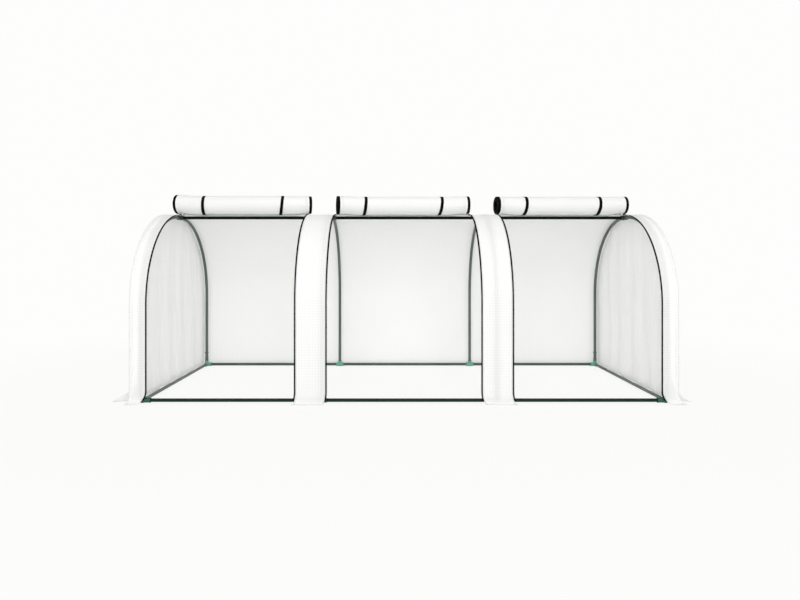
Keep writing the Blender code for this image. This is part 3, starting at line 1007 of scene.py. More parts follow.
def swing(along):
    """0 down to the skirt, then up to 1 at its hem."""
    return np.clip((along - CLOTH_END) / SWING_REACH + 1, 0, 1) ** 1.6


def cover_points(profile, across, along, lift, side, flare=0.0):
    """Points of a sheet on a profile at one side, pushed out by lift, its hem moved along X by flare."""
    out, height, outwards, upwards = follow(profile, along)
    height = np.maximum(height + upwards * lift, LOWEST)
    return np.stack([across + flare * swing(along), side * (out + outwards * lift), height], axis=-1)


print("a hem is", round(1000 * HEM_WIDTH), "mm wide and", 1000 * HEM_STEP, "mm higher than the sheet")

# %% Roof and back sheet
SHEET_THICKNESS = 0.0006
BAY_SINK = 0.0050  # how far the cover draws in between two hoops
RIDGE_DIP = 0.0052  # where no connector holds it up, the ridge sheet lies on the tube

ridge_line = [(out, line_points[0][1]) for out in (-RIDGE_FLAT, -RIDGE_FLAT / 2, 0.0)]
back_profile = (
    np.concatenate([ridge_line, line_points]),
    np.concatenate([[[0.0, 1.0]] * 3, line_outward]),
    np.concatenate([[-2 * RIDGE_FLAT, -1.5 * RIDGE_FLAT, -RIDGE_FLAT], line_length]),
)
places = with_hem(-COVER_HALF_LENGTH, COVER_HALF_LENGTH, 150)
across, along = np.meshgrid(places, back_profile[2])
turn = np.clip(along / (COVER_RADIUS * math.pi / 2), 0, 1)
slack = np.sin(math.pi * turn) ** 0.7 * bay_draw(across)
down = np.clip((CLOTH_END - 0.05 - along) / 0.10, 0, 1)
lift = -np.maximum(RIDGE_DIP * ridge_dip(across) * np.clip(1 - 4 * turn, 0, 1), BAY_SINK * slack)
lift += 0.0010 * creases(across, along, 4, 0.60, 0.15) * np.clip(turn * 4, 0, 1) * down
lift += hem_rise(COVER_HALF_LENGTH - np.abs(across)) + hem_rise(CLOTH_END - along)
points = cover_points(back_profile, across, along, lift, 1)
roof = new_piece("roof_and_back_cover", cloth_mesh("roof_and_back", points, across, along), cover_finish)
give_thickness(roof, SHEET_THICKNESS)
fit(roof, FRAME_BODY, "cover", "roof_and_back_sheet")
cut = (2 * COVER_HALF_LENGTH, round(float(back_profile[2][-1] - back_profile[2][0]), 3))
print("roof and back cut to", cut)

# %% [markdown]
# ## The bands between the doors
#
# Four fixed strips run down the front, one at each end and one between each two doors. They are
# pulled over the front halves of the hoops. Their skirts lie on the ground, where each is pulled
# sideways a little, so a number for each edge says how far its hem swings out. A packed sheet keeps
# a sharp fold or two, and one of them shows on the second band.

# %% Front bands
TAPE_HALF = 0.0040  # half the width of a zip
ZIP_FOOT = 0.012  # the zips end this high above the ground
FOLD_HALF = 0.0025
ZIP_END = float(np.interp(-ZIP_FOOT, -line_points[:, 1], line_length))
zips = [place for door in DOORS for place in door]
clear = TAPE_HALF + 0.0003
BANDS = (
    (-COVER_HALF_LENGTH, zips[0] - clear),
    (zips[1] + clear, zips[2] - clear),
    (zips[3] + clear, zips[4] - clear),
    (zips[5] + clear, COVER_HALF_LENGTH),
)
# how far each edge's hem swings along X
FLARES = ((-0.011, -0.043), (-0.014, -0.0105), (0.017, 0.0195), (0.043, 0.0285))
ZIP_FLARES = [flare for edges in FLARES for flare in edges][1:-1]
FOLD_LINES = (None, -0.434, None, None)  # a sharp fold from the packing, along X

for number, (start, end) in enumerate(BANDS, 1):
    places = with_hem(start, end, 14, number == 1, number == 4)
    fold = FOLD_LINES[number - 1]
    if fold:
        places = np.array(sorted({*places, fold - FOLD_HALF, fold, fold + FOLD_HALF}))
    across, along = np.meshgrid(places, line_length)
    inside = np.minimum(across - start, end - across)
    lift = 0.0009 * creases(across, along, 20 + number, 0.40, 0.06) * np.clip(inside / 0.02, 0, 1)
    if fold:
        lift += 0.0007 * np.clip(1 - np.abs(across - fold) / FOLD_HALF, 0, 1)
    if number in (1, 4):
        lift += hem_rise(COVER_HALF_LENGTH - np.abs(across))
    lift += hem_rise(CLOTH_END - along)
    share = (across - start) / (end - start)
    left_flare, right_flare = FLARES[number - 1]
    flare = left_flare + (right_flare - left_flare) * share
    points = cover_points(front_profile, across, along, lift, -1, flare)
    mesh = cloth_mesh(f"band_{number}", points, across, along)
    band = new_piece(f"band_{number}_cover", mesh, band_finish)
    give_thickness(band, SHEET_THICKNESS)
    fit(band, FRAME_BODY, "cover", f"front_band_{number}")
    cut = (round(end - start, 4), round(float(CLOTH_END), 3))
    print("band", number, "cut to", cut)

# %% [markdown]
# ## The end walls
#
# A D-shaped piece closes each end. It hangs close outside the end hoop in soft upright folds, which
# fade towards the curved edge where it is sewn, and its foot turns out over the ground as a flap.
# The flap's front corner is pulled out to a point, so it slopes down there instead of lying flat.
# The sheet is a grid of rows and columns. Each row of the foot lies between two profiles, one for a
# flap on the ground and one for the sloping corner, and the share of each changes from column to
# column.

# %% The folds and the foot of an end wall
WALL_PLACE = 1.2285
WALL_RADIUS = (BEND_RADIUS + 0.0135) * math.cos(math.radians(90 / 16 / 2)) - 0.0006
WALL_EDGE = RIDGE_FLAT + WALL_RADIUS
# the flap on the ground, from its hem to the wall: how far out and how high
LYING_FOOT = tuple((out, SHEET_LIES) for out in (0.0995, 0.077, 0.055, 0.037))
LYING_FOOT += ((0.026, 0.0009), (0.017, 0.0030), (0.010, 0.0080), (0.005, 0.0180))
WALL_START = 0.004  # how far out the wall's rising part starts
DRAWN_IN = 0.0105  # the seam and the foot are drawn in to the frame by this much
CORNER_PULL = 0.040  # how far behind the front edge the corner's pull reaches
CORNER_BACK = 0.028  # how far back the corner's tip lies


def foot_points(columns, tip, rise, bow):
    """How far out, how far back and how high the foot lies, by row from its hem and by column."""
    pull = np.clip(1 - (columns + WALL_EDGE) / CORNER_PULL, 0, 1) ** 1.2
    rows = []
    for index, (out, height) in enumerate(LYING_FOOT):
        share = index / (len(LYING_FOOT) - 1)
        slope_out = tip + (WALL_START - tip) * share
        slope_height = SHEET_LIES + (rise - SHEET_LIES) * share**bow
        back = CORNER_BACK * pull * (1 - share)
        rows.append(np.stack([
            out + (slope_out - out) * pull,
            columns + back,
            height + (slope_height - height) * pull,
        ], axis=-1))
    return np.array(rows)


def wall_folds(across, share, fade, seed):
    """Wide hanging folds with finer, sharper creases on them, nearly upright."""
    hang = np.clip(1 - (share - 0.75) / 0.25, 0, 1) ** 0.7
    drift = 1.2 * creases(across, share * 0.5, seed + 3, 0.90, 0.30)
    fold = 0.006 * (1 - 0.6 * share) * np.cos(2 * math.pi * across / 0.170 + drift)
    fold += 0.0022 * hang * creases(across, share * 0.14, seed, 0.11, 0.030)
    sharp = np.clip(1 - 3.0 * np.abs(creases(across, share * 0.45, seed + 1, 0.12, 0.038)), 0, 1)
    fold += 0.0013 * hang * sharp
    fold += 0.0005 * hang * creases(across, share * 0.8, seed + 2, 0.20, 0.05)
    return fold * fade


print("an end wall reaches", round(WALL_EDGE, 4), "m to each side of its middle")

# %% End walls
def end_wall(name, node, side, seed, tip, rise, bow):
    columns = WALL_EDGE * np.sin(np.linspace(-math.pi / 2, math.pi / 2, 201))
    columns = 0.5 * columns + 0.5 * np.linspace(-WALL_EDGE, WALL_EDGE, 201)
    foot = foot_points(columns, tip, rise, bow)
    edge = np.maximum(np.abs(columns) - RIDGE_FLAT, 0)
    top = BEND_HEIGHT + np.sqrt(np.maximum(WALL_RADIUS**2 - edge**2, 0))
    shares = np.linspace(0, 1, 49)[1:, None]
    rising = np.stack([
        WALL_START * (1 - shares) ** 6 + 0 * columns,
        columns + 0 * shares,
        foot[-1, :, 2] + (top - foot[-1, :, 2]) * shares,
    ], axis=-1)
    points = np.concatenate([foot, rising])
    steps = np.linalg.norm(np.diff(points, axis=0), axis=-1)
    along = np.concatenate([np.zeros((1, len(columns))), np.cumsum(steps, axis=0)])
    across = np.broadcast_to(columns, along.shape)
    share = np.concatenate([np.zeros((len(foot), len(columns))), shares + 0 * columns])
    inner = 1 - (across / WALL_EDGE) ** 4
    drawn = DRAWN_IN * (1 - 0.6 * inner * np.clip(points[..., 2] / 0.10, 0, 1))
    points[..., 0] = side * (WALL_PLACE - drawn + points[..., 0] + wall_folds(across, share, inner, seed))
    wall = new_piece(name, cloth_mesh(name, points, across + 2.0, along), cover_finish)
    give_thickness(wall, SHEET_THICKNESS)
    fit(wall, FRAME_BODY, "cover", node)


# each side's flap: the reach of its corner's tip, the height where it leaves the wall, and its bow
CORNERS = {"left": (-1, 0.1310, 0.078, 1.0), "right": (1, 0.1150, 0.098, 1.6)}
for side_name, (side, *corner) in CORNERS.items():
    end_wall(f"wall_{side_name}_cover", f"end_wall_{side_name}", side, 40 + 10 * side, *corner)

# %% [markdown]
# ## The rolled doors
#
# Each door is rolled up outside the cover and rests on the ridge. Rolled cloth is a spiral, so the
# roll is drawn as one, in nearly five turns. Its two edges carry the door's half of the zips, which
# show as a black ring at each end. On the inner turns the black reaches further in: painted shade in
# the hollow of the roll's end. No roll is a true cylinder: it sinks onto the ridge between its ends,
# is thicker in one place than in another, its end turns slip past each other a little, and the
# straps pinch it. Each of these is a number for each roll.

# %% Sizes of the rolls
ROLL_CENTRE = (-0.018, 0.95318)  # y and z
ROLL_START = math.radians(-70)
ROLL_TUCK = 0.0020  # the first turn dips this much to pass under its own edge
ROLL_PITCH = 0.0055
ROLL_TURNS = 4.9
EDGE_TAPE = 0.0135
ROLL_HEM = 0.016
HEM_END = EDGE_TAPE + ROLL_HEM
ROLL_SHEET = 0.0011
# how far each roll sits below the centre and its radius, at its left end, middle and right end
ROLL_SHAPES = (
    ((0.0000, 0.0503), (0.0050, 0.0499), (0.0043, 0.0462)),
    ((0.0047, 0.0487), (0.0086, 0.0492), (0.0047, 0.0468)),
    ((0.0050, 0.0463), (0.0086, 0.0492), (0.0050, 0.0463)),
)
# how far each end is pulled along X for each metre towards the back
ROLL_SLIPS = ((0.10, -0.26), (-0.19, -0.10), (-0.13, -0.03))
# each strap's place, and how far it runs along X for each metre towards the back and each metre up
STRAPS = (
    ((-1.058, -0.075, 0.0), (-0.646, -0.20, 0.107)),
    ((-0.202, -0.19, 0.10), (0.201, -0.165, 0.134)),
    ((0.650, -0.16, 0.10), (1.042, -0.09, 0.107)),
)
print("the rolls are", ", ".join(str(round(end - start, 3)) for start, end in ROLL_ENDS), "m long")

# %% The shape of the rolls
SLIP_REACH = 0.12  # how far in from its tape a pulled end reaches
PINCH_REACH = 0.020  # how far a strap's pinch reaches to each side


def roll_shape(place, number):
    """How far the roll sits below the centre and its outer radius, at places along it."""
    start, end = ROLL_ENDS[number - 1]
    left, middle, right = ROLL_SHAPES[number - 1]
    near_left, near_right = [1 - smooth((inset - 0.036) / 0.070) for inset in (place - start, end - place)]
    rest = 1 - near_left - near_right
    return [left[part] * near_left + middle[part] * rest + right[part] * near_right for part in (0, 1)]


def roll_radius(turns, outer):
    """The radius after some turns, from the outer radius."""
    return outer - ROLL_TUCK * np.clip((turns - 0.7) / 0.3, 0, 1) - ROLL_PITCH * np.maximum(turns - 1, 0)


def spiral_points(turns, place, number):
    """Points of a rolled door, with all its unevenness."""
    start, end = ROLL_ENDS[number - 1]
    drop, outer = roll_shape(place, number)
    angle = ROLL_START + 2 * math.pi * turns
    radius = roll_radius(turns, outer) - 0.0005 * (1 + creases(place, turns * 0.25, 60 + number, 0.35, 0.07))
    from_end = np.minimum(place - start, end - place)
    radius = radius + 0.0006 * np.clip((HEM_END - from_end) / 0.0005, 0, 1) * (turns < 1)
    y = radius * np.cos(angle)
    z = radius * np.sin(angle)
    pinch = 0
    for strap, slant, lean in STRAPS[number - 1]:
        pinch = pinch + np.exp(-(((place - strap - slant * y - lean * z) / PINCH_REACH) ** 2))
    shrink = 1 - 0.018 * pinch * np.clip(1.2 - turns, 0, 1)
    left_slip, right_slip = ROLL_SLIPS[number - 1]
    slip = left_slip * np.clip(1 - (place - start - EDGE_TAPE) / SLIP_REACH, 0, 1)
    slip = slip + right_slip * np.clip(1 - (end - place - EDGE_TAPE) / SLIP_REACH, 0, 1)
    middle_y, middle_z = ROLL_CENTRE
    return np.stack([place + slip * y, middle_y + y * shrink, middle_z - drop + z * shrink], axis=-1)


core = roll_radius(ROLL_TURNS, ROLL_SHAPES[1][1][1])
print("the hollow inside roll 2 has a radius of", round(float(core), 4), "m")

# %% Rolls
TURN_STEPS = 49  # rows in one turn


def blacken_edges(mesh, rows, columns, painted_shade_from_row=None, painted_shade_columns=5):
    """The piece's second finish on two columns of faces at each edge, and on more columns from a given row
    on, as painted shade inside a roll's end.
    """
    edge = np.zeros((rows - 1, columns - 1), np.int32)
    edge[:, [0, 1, -2, -1]] = 1
    if painted_shade_from_row:
        edge[painted_shade_from_row:, :painted_shade_columns] = 1
        edge[painted_shade_from_row:, -painted_shade_columns:] = 1
    mesh.polygons.foreach_set("material_index", edge.ravel())


wound_turns = np.linspace(0, ROLL_TURNS, 240)
near = np.array([0, EDGE_TAPE - 0.0003, EDGE_TAPE, HEM_END - 0.0005, HEM_END])
for number, (start, end) in enumerate(ROLL_ENDS, 1):
    places = np.linspace(start + HEM_END + 0.008, end - HEM_END - 0.008, 71)
    places = np.concatenate([start + near, places, end - near[::-1]])
    across, wound = np.meshgrid(places, wound_turns)
    points = spiral_points(wound, across, number)
    middle = roll_radius((wound_turns[1:] + wound_turns[:-1]) / 2, ROLL_SHAPES[number - 1][1][1])
    wound_length = np.concatenate([[0], np.cumsum(np.diff(wound_turns) * 2 * math.pi * middle)])
    run = np.broadcast_to(wound_length[:, None], wound.shape)
    mesh = cloth_mesh(f"door_{number}_roll", points, across, run)
    roll = new_piece(f"door_{number}_rolled_sheet", mesh, rolled_finish, zip_finish)
    # past the first turn the black reaches five columns in: painted shade in the roll's hollow end
    blacken_edges(mesh, len(wound_turns), len(places), TURN_STEPS)
    give_thickness(roll, ROLL_SHEET, -1.0)
    fit(roll, f"door_{number}", "cover", f"door_roll_{number}")
    cut = (round(end - start, 3), round(float(wound_length[-1]), 3))
    print("door", number, "cut to", cut)

# %% [markdown]
# From the seam at the ridge to the roll a short strip of each door shows. Its seam lies on the
# cover and its other edge on the roll's outer turn.

# %% The way of a door strip
STRIP_SINK = 0.0007
STRIP_EDGE = 0.0010  # the strip ends this far inside the roll's outer radius
SEAM_PLACE = (-0.0243, 0.8984)  # y and z


def strip_points(places, share, number):
    """From the ridge seam back and up to the outer turn of the roll, by row and column."""
    share = share[:, None]
    dip = ridge_dip(places)
    drop, outer = roll_shape(places, number)
    end_y = ROLL_CENTRE[0] + (outer - STRIP_EDGE) * math.cos(ROLL_START)
    end_z = ROLL_CENTRE[1] - drop + (outer - STRIP_EDGE) * math.sin(ROLL_START)
    start_z = SEAM_PLACE[1] - (RIDGE_DIP + STRIP_SINK) * dip
    y = SEAM_PLACE[0] + (end_y - SEAM_PLACE[0]) * share
    z = start_z + (end_z - start_z) * share - (STRIP_SINK + 0.0011 * dip) * np.sin(math.pi * share)
    return np.stack([places + 0 * share, y, z], axis=-1)


def blend_range(points):
    """Two places on the strip's way from seam to roll: past its whole seam, before its whole far edge."""
    first = points[0, :, 1:]
    last = points[-1, :, 1:]
    way = last.mean(axis=0) - first.mean(axis=0)
    way /= np.linalg.norm(way)
    return (0, *(way * (first @ way).max())), (0, *(way * (last @ way).min()))


print("the seam lies", round(SEAM_PLACE[1] - RIDGE_HEIGHT, 3), "m over the ridge tube's middle")

# %% Door strips between seam and roll
STRIP_ROWS = 48
STRIP_LENGTH = 0.0248
STRIP_CLEAR = 0.0062  # beside a zip's centre line, past its slider
STRIP_TAPE = 0.008

for number, (start, end) in enumerate(DOORS, 1):
    weight = np.linspace(0, 1, STRIP_ROWS)
    share = 0.5 - np.sin(np.arcsin(1 - 2 * weight) / 3)
    first, last = start + STRIP_CLEAR, end - STRIP_CLEAR
    places = np.linspace(first + STRIP_TAPE, last - STRIP_TAPE, 40)
    places = np.concatenate([[first, places[0] - 0.0003], places, [places[-1] + 0.0003, last]])
    points = strip_points(places, share, number)
    across, along = np.meshgrid(places, share * STRIP_LENGTH)
    mesh = cloth_mesh(f"door_{number}_strip", points, across, along)
    strip = new_piece(f"door_{number}_seam_strip", mesh, unrolled_finish, zip_finish)
    blacken_edges(mesh, STRIP_ROWS, len(places))
    give_thickness(strip, SHEET_THICKNESS)
    begin, finish = blend_range(points)
    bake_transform(strip)
    cut = (round(last - first, 3), STRIP_LENGTH)
print("a strip has", STRIP_ROWS, "rows to unroll")

# %% [markdown]
# ## What is set along a line
#
# Teeth are one small shape repeated along a path, and so are stitches. Placing them in a loop would
# need the path's direction worked out each time. A tree does it once: it takes a path whose points
# carry an "up" direction, sets points along it at an even pitch, turns the shape to lie along the
# path with its top up, and puts one on each.

# %% A tree that sets a shape along paths
graph, sizes = new_tree("set along", {"Shape": "Object", "Pitch": "Float", "Finish": "Material"})
paths = graph.node("GeometryNodeMeshToCurve", inputs={"Mesh": sizes["Geometry"]})
inputs = {"Curve": paths, "Length": sizes["Pitch"]}
paths = graph.node("GeometryNodeResampleCurve", {"mode": "LENGTH"}, inputs)
forward = graph.node("GeometryNodeInputTangent")
up = graph.node("GeometryNodeInputNamedAttribute", {"data_type": "FLOAT_VECTOR"}, {"Name": "up"})
lying = graph.node("FunctionNodeAlignRotationToVector", {"axis": "X"}, {"Vector": forward})
inputs = {"Rotation": lying, "Vector": up}
lying = graph.node("FunctionNodeAlignRotationToVector", {"axis": "Z", "pivot_axis": "X"}, inputs)
shape = graph.node("GeometryNodeObjectInfo", inputs={"Object": sizes["Shape"]}, output="Geometry")
inputs = {"Points": paths, "Instance": shape, "Rotation": lying}
copies = graph.node("GeometryNodeInstanceOnPoints", inputs=inputs)
along_tree = end_tree(graph, copies, sizes["Finish"])


def path_mesh(name, lines):
    """Lines of points with an up direction each, as loose edges."""
    places = []
    ups = []
    edges = []
    for points, directions in lines:
        first = len(places)
        places.extend(points)
        ups.extend(directions)
        edges.extend((first + step, first + step + 1) for step in range(len(points) - 1))
    mesh = bpy.data.meshes.new(name)
    mesh.from_pydata(places, edges, [])
    up = mesh.attributes.new("up", "FLOAT_VECTOR", "POINT")
    up.data.foreach_set("vector", np.array(ups, np.float32).ravel())
    return mesh


def set_along(name, lines, shape, pitch, finish):
    """One piece from a shape that is set along the lines."""
    return grow(name, along_tree, path_mesh(name, lines), Shape=shape, Pitch=pitch, Finish=finish)


print("the tree has", len(along_tree.nodes), "nodes")

# %% The small shapes and their paths
def lozenge(name, length, width, height, sides=5, waist=0.75):
    """A small rounded grain along X that stands on its path."""
    bm = bmesh.new()
    neck = length * 0.36
    profile = [(0, -length / 2), (waist / 2, -neck), (0.5, 0.0), (waist / 2, neck), (0, length / 2)]
    turned(bm, profile, (0, 0, 0), (1, 0, 0), sides)
    for corner in bm.verts:
        corner.co.y *= width
        corner.co.z *= height
    return new_piece(name, mesh_from(bm, name))


def path_on(profile, side, run, place, stand_off=0.0, flare=0.0):
    """A path down a profile at one place along X, lifted off it, and its up directions."""
    out, height, outwards, upwards = follow(profile, run)
    x = place + flare * swing(run)
    points = np.stack([x, side * (out + outwards * stand_off), height + upwards * stand_off], axis=-1)
    ups = np.stack([0 * x, side * outwards, upwards], axis=-1)
    return points.tolist(), ups.tolist()


def outward_of(angle):
    """The direction straight out of a roll at an angle round it."""
    return np.stack([0 * angle, np.cos(angle), np.sin(angle)], axis=-1)


TOOTH_PITCH = 0.0021
STITCH_PITCH = 0.005
THREAD_LIFT = 0.0001  # a stitch's middle lies this far off the cloth
tooth = lozenge("tooth", 0.0017, 0.0030, 0.0024, 6, 0.9)
stitch = lozenge("stitch", 0.0036, 0.0009, 0.0009)
print("faces of a tooth and a stitch:", len(tooth.data.polygons), len(stitch.data.polygons))

# %% [markdown]
# ## The zips
#
# A zip runs down each side of every door. Its tape is sewn to the edge of the band, and its teeth
# stand on the side towards the door. The other row of teeth is on the rolled door.

# %% Fixed tapes and their teeth
TAPE_EDGE = 0.0012  # from a zip's centre line to its tape's edge under the teeth
TEETH_PLACE = 0.0024  # and to the middle of its teeth
TAPE_THICKNESS = 0.0014
FRONT_START = 0.0006  # paths down the front start this far below the ridge

for number, (place, flare) in enumerate(zip(zips, ZIP_FLARES), 1):
    door_side = 1 if number % 2 else -1
    near, far = sorted((place - door_side * TAPE_HALF, place + door_side * TAPE_EDGE))
    rows = np.append(line_length[line_length < ZIP_END], ZIP_END)
    across, along = np.meshgrid(np.linspace(near, far, 5), rows)
    points = cover_points(front_profile, across, along, 0.0, -1, flare)
    tape = new_piece(f"zip_{number}_tape", cloth_mesh(f"zip_{number}", points, across, along), zip_finish)
    give_thickness(tape, TAPE_THICKNESS)
    fit(tape, FRAME_BODY, "zip", f"zip_tape_{number}")
    run = np.linspace(FRONT_START, ZIP_END, 90)
    line = path_on(front_profile, -1, run, place + door_side * TEETH_PLACE, 0.0, flare)
    teeth = set_along(f"zip_{number}_teeth", [line], tooth, TOOTH_PITCH, teeth_finish)
    fit(teeth, FRAME_BODY, "zip")
print("teeth on one zip:", len(teeth.data.polygons) // len(tooth.data.polygons))

# %% Teeth on the rolled doors
for number, (start, end) in enumerate(ROLL_ENDS, 1):
    ups = outward_of(ROLL_START + 2 * math.pi * wound_turns)
    lines = []
    for place in (start, end):
        points = spiral_points(wound_turns, np.full_like(wound_turns, place), number)
        lines.append(((points - ups * ROLL_SHEET / 2).tolist(), ups.tolist()))
    teeth = set_along(f"door_{number}_teeth", lines, tooth, TOOTH_PITCH, teeth_finish)
    fit(teeth, f"door_{number}", "zip")
print("teeth on one door:", len(teeth.data.polygons) // len(tooth.data.polygons))

# %% [markdown]
# ## The straps
#
# Two straps hold each roll. A strap is a length of webbing that goes round the roll and overlaps
# itself, with its free end stitched down. It is drawn as one band that winds a little further than
# a full turn, so the overlap lies on top.

# %% Straps
STRAP_WIDTH = 0.0155
STRAP_LIFT = 0.0005  # from the roll's radius to the middle of the webbing
STRAP_THICKNESS = 0.0013
STRAP_START = math.radians(-112)
STRAP_OVERLAP = math.radians(64)
STRAP_STEP = 0.0015  # how far the overlap rises over the strap's own start


def strap(name, node, number, place, slant, lean):
    """A band from the underside round the front and over the top, which ends on its own start."""
    drop, outer = roll_shape(place, number)
    angles = np.linspace(STRAP_START, STRAP_START - 2 * math.pi - STRAP_OVERLAP, 121)
    wound = np.abs(angles - angles[0])
    radius = outer + STRAP_LIFT + STRAP_STEP * np.clip((wound - 2 * math.pi + 0.25) / 0.25, 0, 1)
    places = np.linspace(-STRAP_WIDTH / 2, STRAP_WIDTH / 2, 7)
    across, along = np.meshgrid(places, wound * 0.05)
    y = (radius * np.cos(angles))[:, None] + 0 * across
    z = (radius * np.sin(angles))[:, None] + 0 * across
    x = place + across + slant * y + lean * z
    points = np.stack([x, ROLL_CENTRE[0] + y, ROLL_CENTRE[1] - drop + z], axis=-1)
    piece = new_piece(name, cloth_mesh(name, points, across, along), strap_finish)
    give_thickness(piece, STRAP_THICKNESS)
    fit(piece, f"door_{number}", "strap", node)
    cut = (STRAP_WIDTH, round(float(wound[-1]) * outer, 3))


for number in (1, 2, 3):
    for side_name, lie in zip(("left", "right"), STRAPS[number - 1]):
        strap(f"door_{number}_strap_{side_name}", f"door_strap_{number}_{side_name}", number, *lie)
print("straps: 6")

# %% [markdown]
# ## The zip sliders
#
# A slider wraps one edge of its zip and carries a flat pull that lies back over the roof. Its body
# is two plates joined by a wall, with a small bridge on top that holds the pull. Each of these is a
# block, a bevel rounds their edges, and a boolean makes the eye of the pull.

# %% A slider's sizes
SLIDER_LEAN = math.radians(2.2)
SLIDER_HALF = 0.0070
# heights above the line of the hoops' bend
LOWER_PLATE = (0.0100, 0.0114)
UPPER_PLATE = (0.0153, 0.0169)
BRIDGE = (0.0165, 0.0181)
PULL = (0.0172, 0.0181)
# places along the zip, from the slider's middle towards the roof
BRIDGE_ENDS = (-0.0048, 0.0010)
PULL_ENDS = (-0.0030, 0.0238)
EYE_PLACE = 0.0205
EYE_RADIUS = 0.0014


def block(bm, low, high, taper=1.0):
    """A block whose front end may be narrower."""
    made = bmesh.ops.create_cube(bm, size=1.0)["verts"]
    size = Vector(high) - Vector(low)
    middle = (Vector(high) + Vector(low)) / 2
    for corner in made:
        local = Vector([corner.co[axis] * size[axis] for axis in range(3)])
        if local.y < 0:
            local.x *= taper
        corner.co = local + middle


print("a slider is", round(2000 * SLIDER_HALF), "mm long")

# %% A slider's body
def slider_body(number, door_side):
    """Two plates, the wall between them towards the door, and the bridge."""
    bm = bmesh.new()
    wall = sorted((door_side * 0.0043, door_side * 0.0058))
    plate = sorted((-door_side * 0.0056, door_side * 0.0050))
    ends = (-SLIDER_HALF, SLIDER_HALF)
    blocks = (
        (wall, ends, (0.0101, UPPER_PLATE[1])),
        (plate, ends, LOWER_PLATE),
        (plate, ends, UPPER_PLATE),
        ((-0.0018, 0.0018), BRIDGE_ENDS, BRIDGE),
    )
    for sides in blocks:
        block(bm, *zip(*sides))
    return new_piece(f"slider_{number}_body", mesh_from(bm, "slider"), slider_finish)


print("a slider's plates stand", round(1000 * (UPPER_PLATE[0] - LOWER_PLATE[1]), 1), "mm apart")

# %% Sliders
def slider(number, place, door_side):
    body = slider_body(number, door_side)
    bm = bmesh.new()
    block(bm, *zip((-0.0025, 0.0025), PULL_ENDS, PULL), 0.8)
    pull = new_piece(f"slider_{number}_pull", mesh_from(bm, "pull"), slider_finish)
    bm = bmesh.new()
    eye = [(0, -0.002), (EYE_RADIUS, -0.002), (EYE_RADIUS, 0.002), (0, 0.002)]
    turned(bm, eye, (0, EYE_PLACE, 0.0177), UP, 20)
    drill = new_piece("drill", mesh_from(bm, "drill"))
    cut_away(pull, drill)
    for piece, width in ((body, 0.0005), (pull, 0.0003)):
        rounding = piece.modifiers.new("rounding", "BEVEL")
        rounding.width = width
        rounding.segments = 2
        rounding.limit_method = "ANGLE"
        settle(piece)
        lift = Matrix.Translation((0, 0, BEND_RADIUS))
        turn = Matrix.Rotation(SLIDER_LEAN, 4, "X")
        piece.data.transform(Matrix.Translation((place, -RIDGE_FLAT, BEND_HEIGHT)) @ turn @ lift)
        shade_round(piece.data)
    bpy.data.objects.remove(drill)
    fit(body, f"slider_{number}", "slider", f"zip_slider_{number}")
    fit(pull, f"slider_{number}", "slider")


for number, place in enumerate(zips, 1):
    slider(number, place, 1 if number % 2 else -1)
print("sliders: 6")

# %% [markdown]
# ## Seams and hems
#
# Every edge of the cover is folded and sewn. The stitches are short white grains, 5 mm apart, in
# two rows along the hemmed ends, in one row beside each zip, and along the ridge and the skirts.

# %% Stitches
SURFACE = SHEET_THICKNESS / 2 + THREAD_LIFT  # from a sheet's middle to the thread on it
HEM_INSET = 0.0030  # from a hem's inner edge to its stitches
EDGE_INSET = 0.0025  # from the cloth's edge to the outer row
ZIP_SEAM = 0.0085  # from a zip's centre line to the seam beside it
SEAM_REACH = 1.255
SEAM_END = CLOTH_END - 0.004

lines = []
back_run = np.linspace(-0.040, SEAM_END, 90)
front_run = np.linspace(FRONT_START, SEAM_END, 90)
for side, flare in ((-1, FLARES[0][0]), (1, FLARES[3][1])):
    for inset in (EDGE_INSET, HEM_WIDTH - HEM_INSET):
        place = side * (COVER_HALF_LENGTH - inset)
        lines.append(path_on(back_profile, 1, back_run, place, HEM_STEP + SURFACE))
        lines.append(path_on(front_profile, -1, front_run, place, HEM_STEP + SURFACE, flare))
for number, (place, flare) in enumerate(zip(zips, ZIP_FLARES), 1):
    door_side = 1 if number % 2 else -1
    lines.append(path_on(front_profile, -1, front_run, place - door_side * ZIP_SEAM, SURFACE, flare))
top = BEND_HEIGHT + COVER_RADIUS + SURFACE
seam = np.linspace(-SEAM_REACH, SEAM_REACH, 240)
for y in (-0.0205, -0.0170):
    ridge_seam = [(x, y, top - RIDGE_DIP * dip) for x, dip in zip(seam, ridge_dip(seam))]
    lines.append((ridge_seam, [UP] * len(seam)))
skirt_out = COVER_LEG + SKIRT_REACH - HEM_WIDTH + HEM_INSET
skirt_z = SHEET_LIES + HEM_STEP + SURFACE
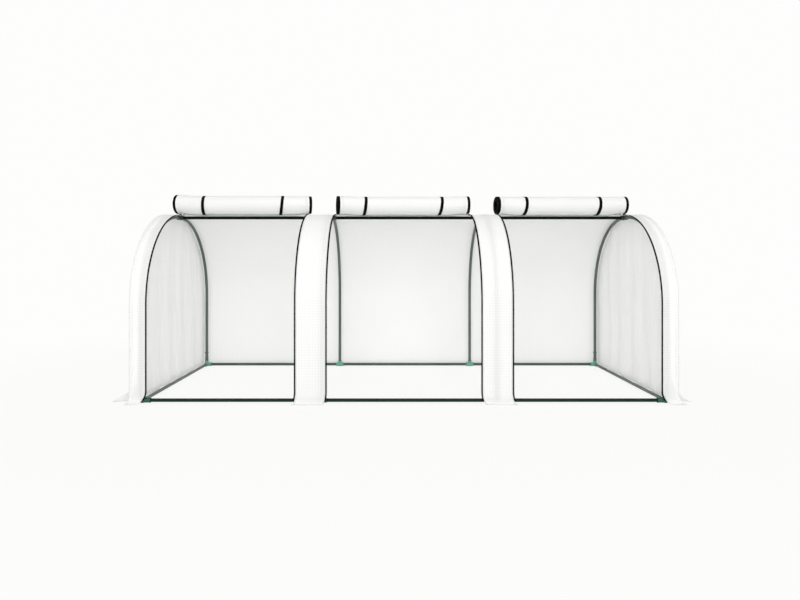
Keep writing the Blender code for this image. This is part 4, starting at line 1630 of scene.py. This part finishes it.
lines.append(([(x, skirt_out, skirt_z) for x in (-SEAM_REACH, 0, SEAM_REACH)], [UP] * 3))
seams = set_along("cover_stitches", lines, stitch, STITCH_PITCH, thread_finish)
fit(seams, FRAME_BODY, "cover")
print("stitches:", len(seams.data.polygons) // len(stitch.data.polygons))

# %% Stitches on the rolls and straps
STRAP_SEAM = 0.0055  # from the middle of a strap to each row
STRAP_STITCH_PITCH = 0.0042

hem_turns = np.linspace(0.02, 0.98, 64)
hem_ups = outward_of(ROLL_START + 2 * math.pi * hem_turns)
strap_ups = outward_of(STRAP_START - STRAP_OVERLAP * np.linspace(0.35, 0.9, 12))
for number, (start, end) in enumerate(ROLL_ENDS, 1):
    lines = []
    for place in (start + HEM_END - 0.004, end - HEM_END + 0.004):
        points = spiral_points(hem_turns, np.full_like(hem_turns, place), number)
        points += hem_ups * THREAD_LIFT
        lines.append((points.tolist(), hem_ups.tolist()))
    sewn = set_along(f"door_{number}_hem_stitches", lines, stitch, STITCH_PITCH, thread_finish)
    fit(sewn, f"door_{number}", "cover")
    lines = []
    for place, slant, lean in STRAPS[number - 1]:
        drop, outer = roll_shape(place, number)
        reach = strap_ups * (outer + STRAP_LIFT + STRAP_STEP + STRAP_THICKNESS / 2 + THREAD_LIFT)
        for inset in (-STRAP_SEAM, STRAP_SEAM):
            points = reach + np.array([place + inset, ROLL_CENTRE[0], ROLL_CENTRE[1] - drop])
            points[:, 0] += slant * reach[:, 1] + lean * reach[:, 2]
            lines.append((points.tolist(), strap_ups.tolist()))
    sewn = set_along(f"door_{number}_strap_stitches", lines, stitch, STRAP_STITCH_PITCH, strap_finish)
    fit(sewn, f"door_{number}", "strap")
for shape in (tooth, stitch):
    bpy.data.objects.remove(shape)
print("strap ends are sewn down")

# %% [markdown] ## Is it still the same size? The dressed model has to fill the same box as the
# CAD model.

# %% Sizes and finish
visual_box = [list(corner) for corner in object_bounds()]
for label, box in (("cad", cad_box), ("visual", visual_box)):
    print(label, [[round(value, 4) for value in corner] for corner in box])
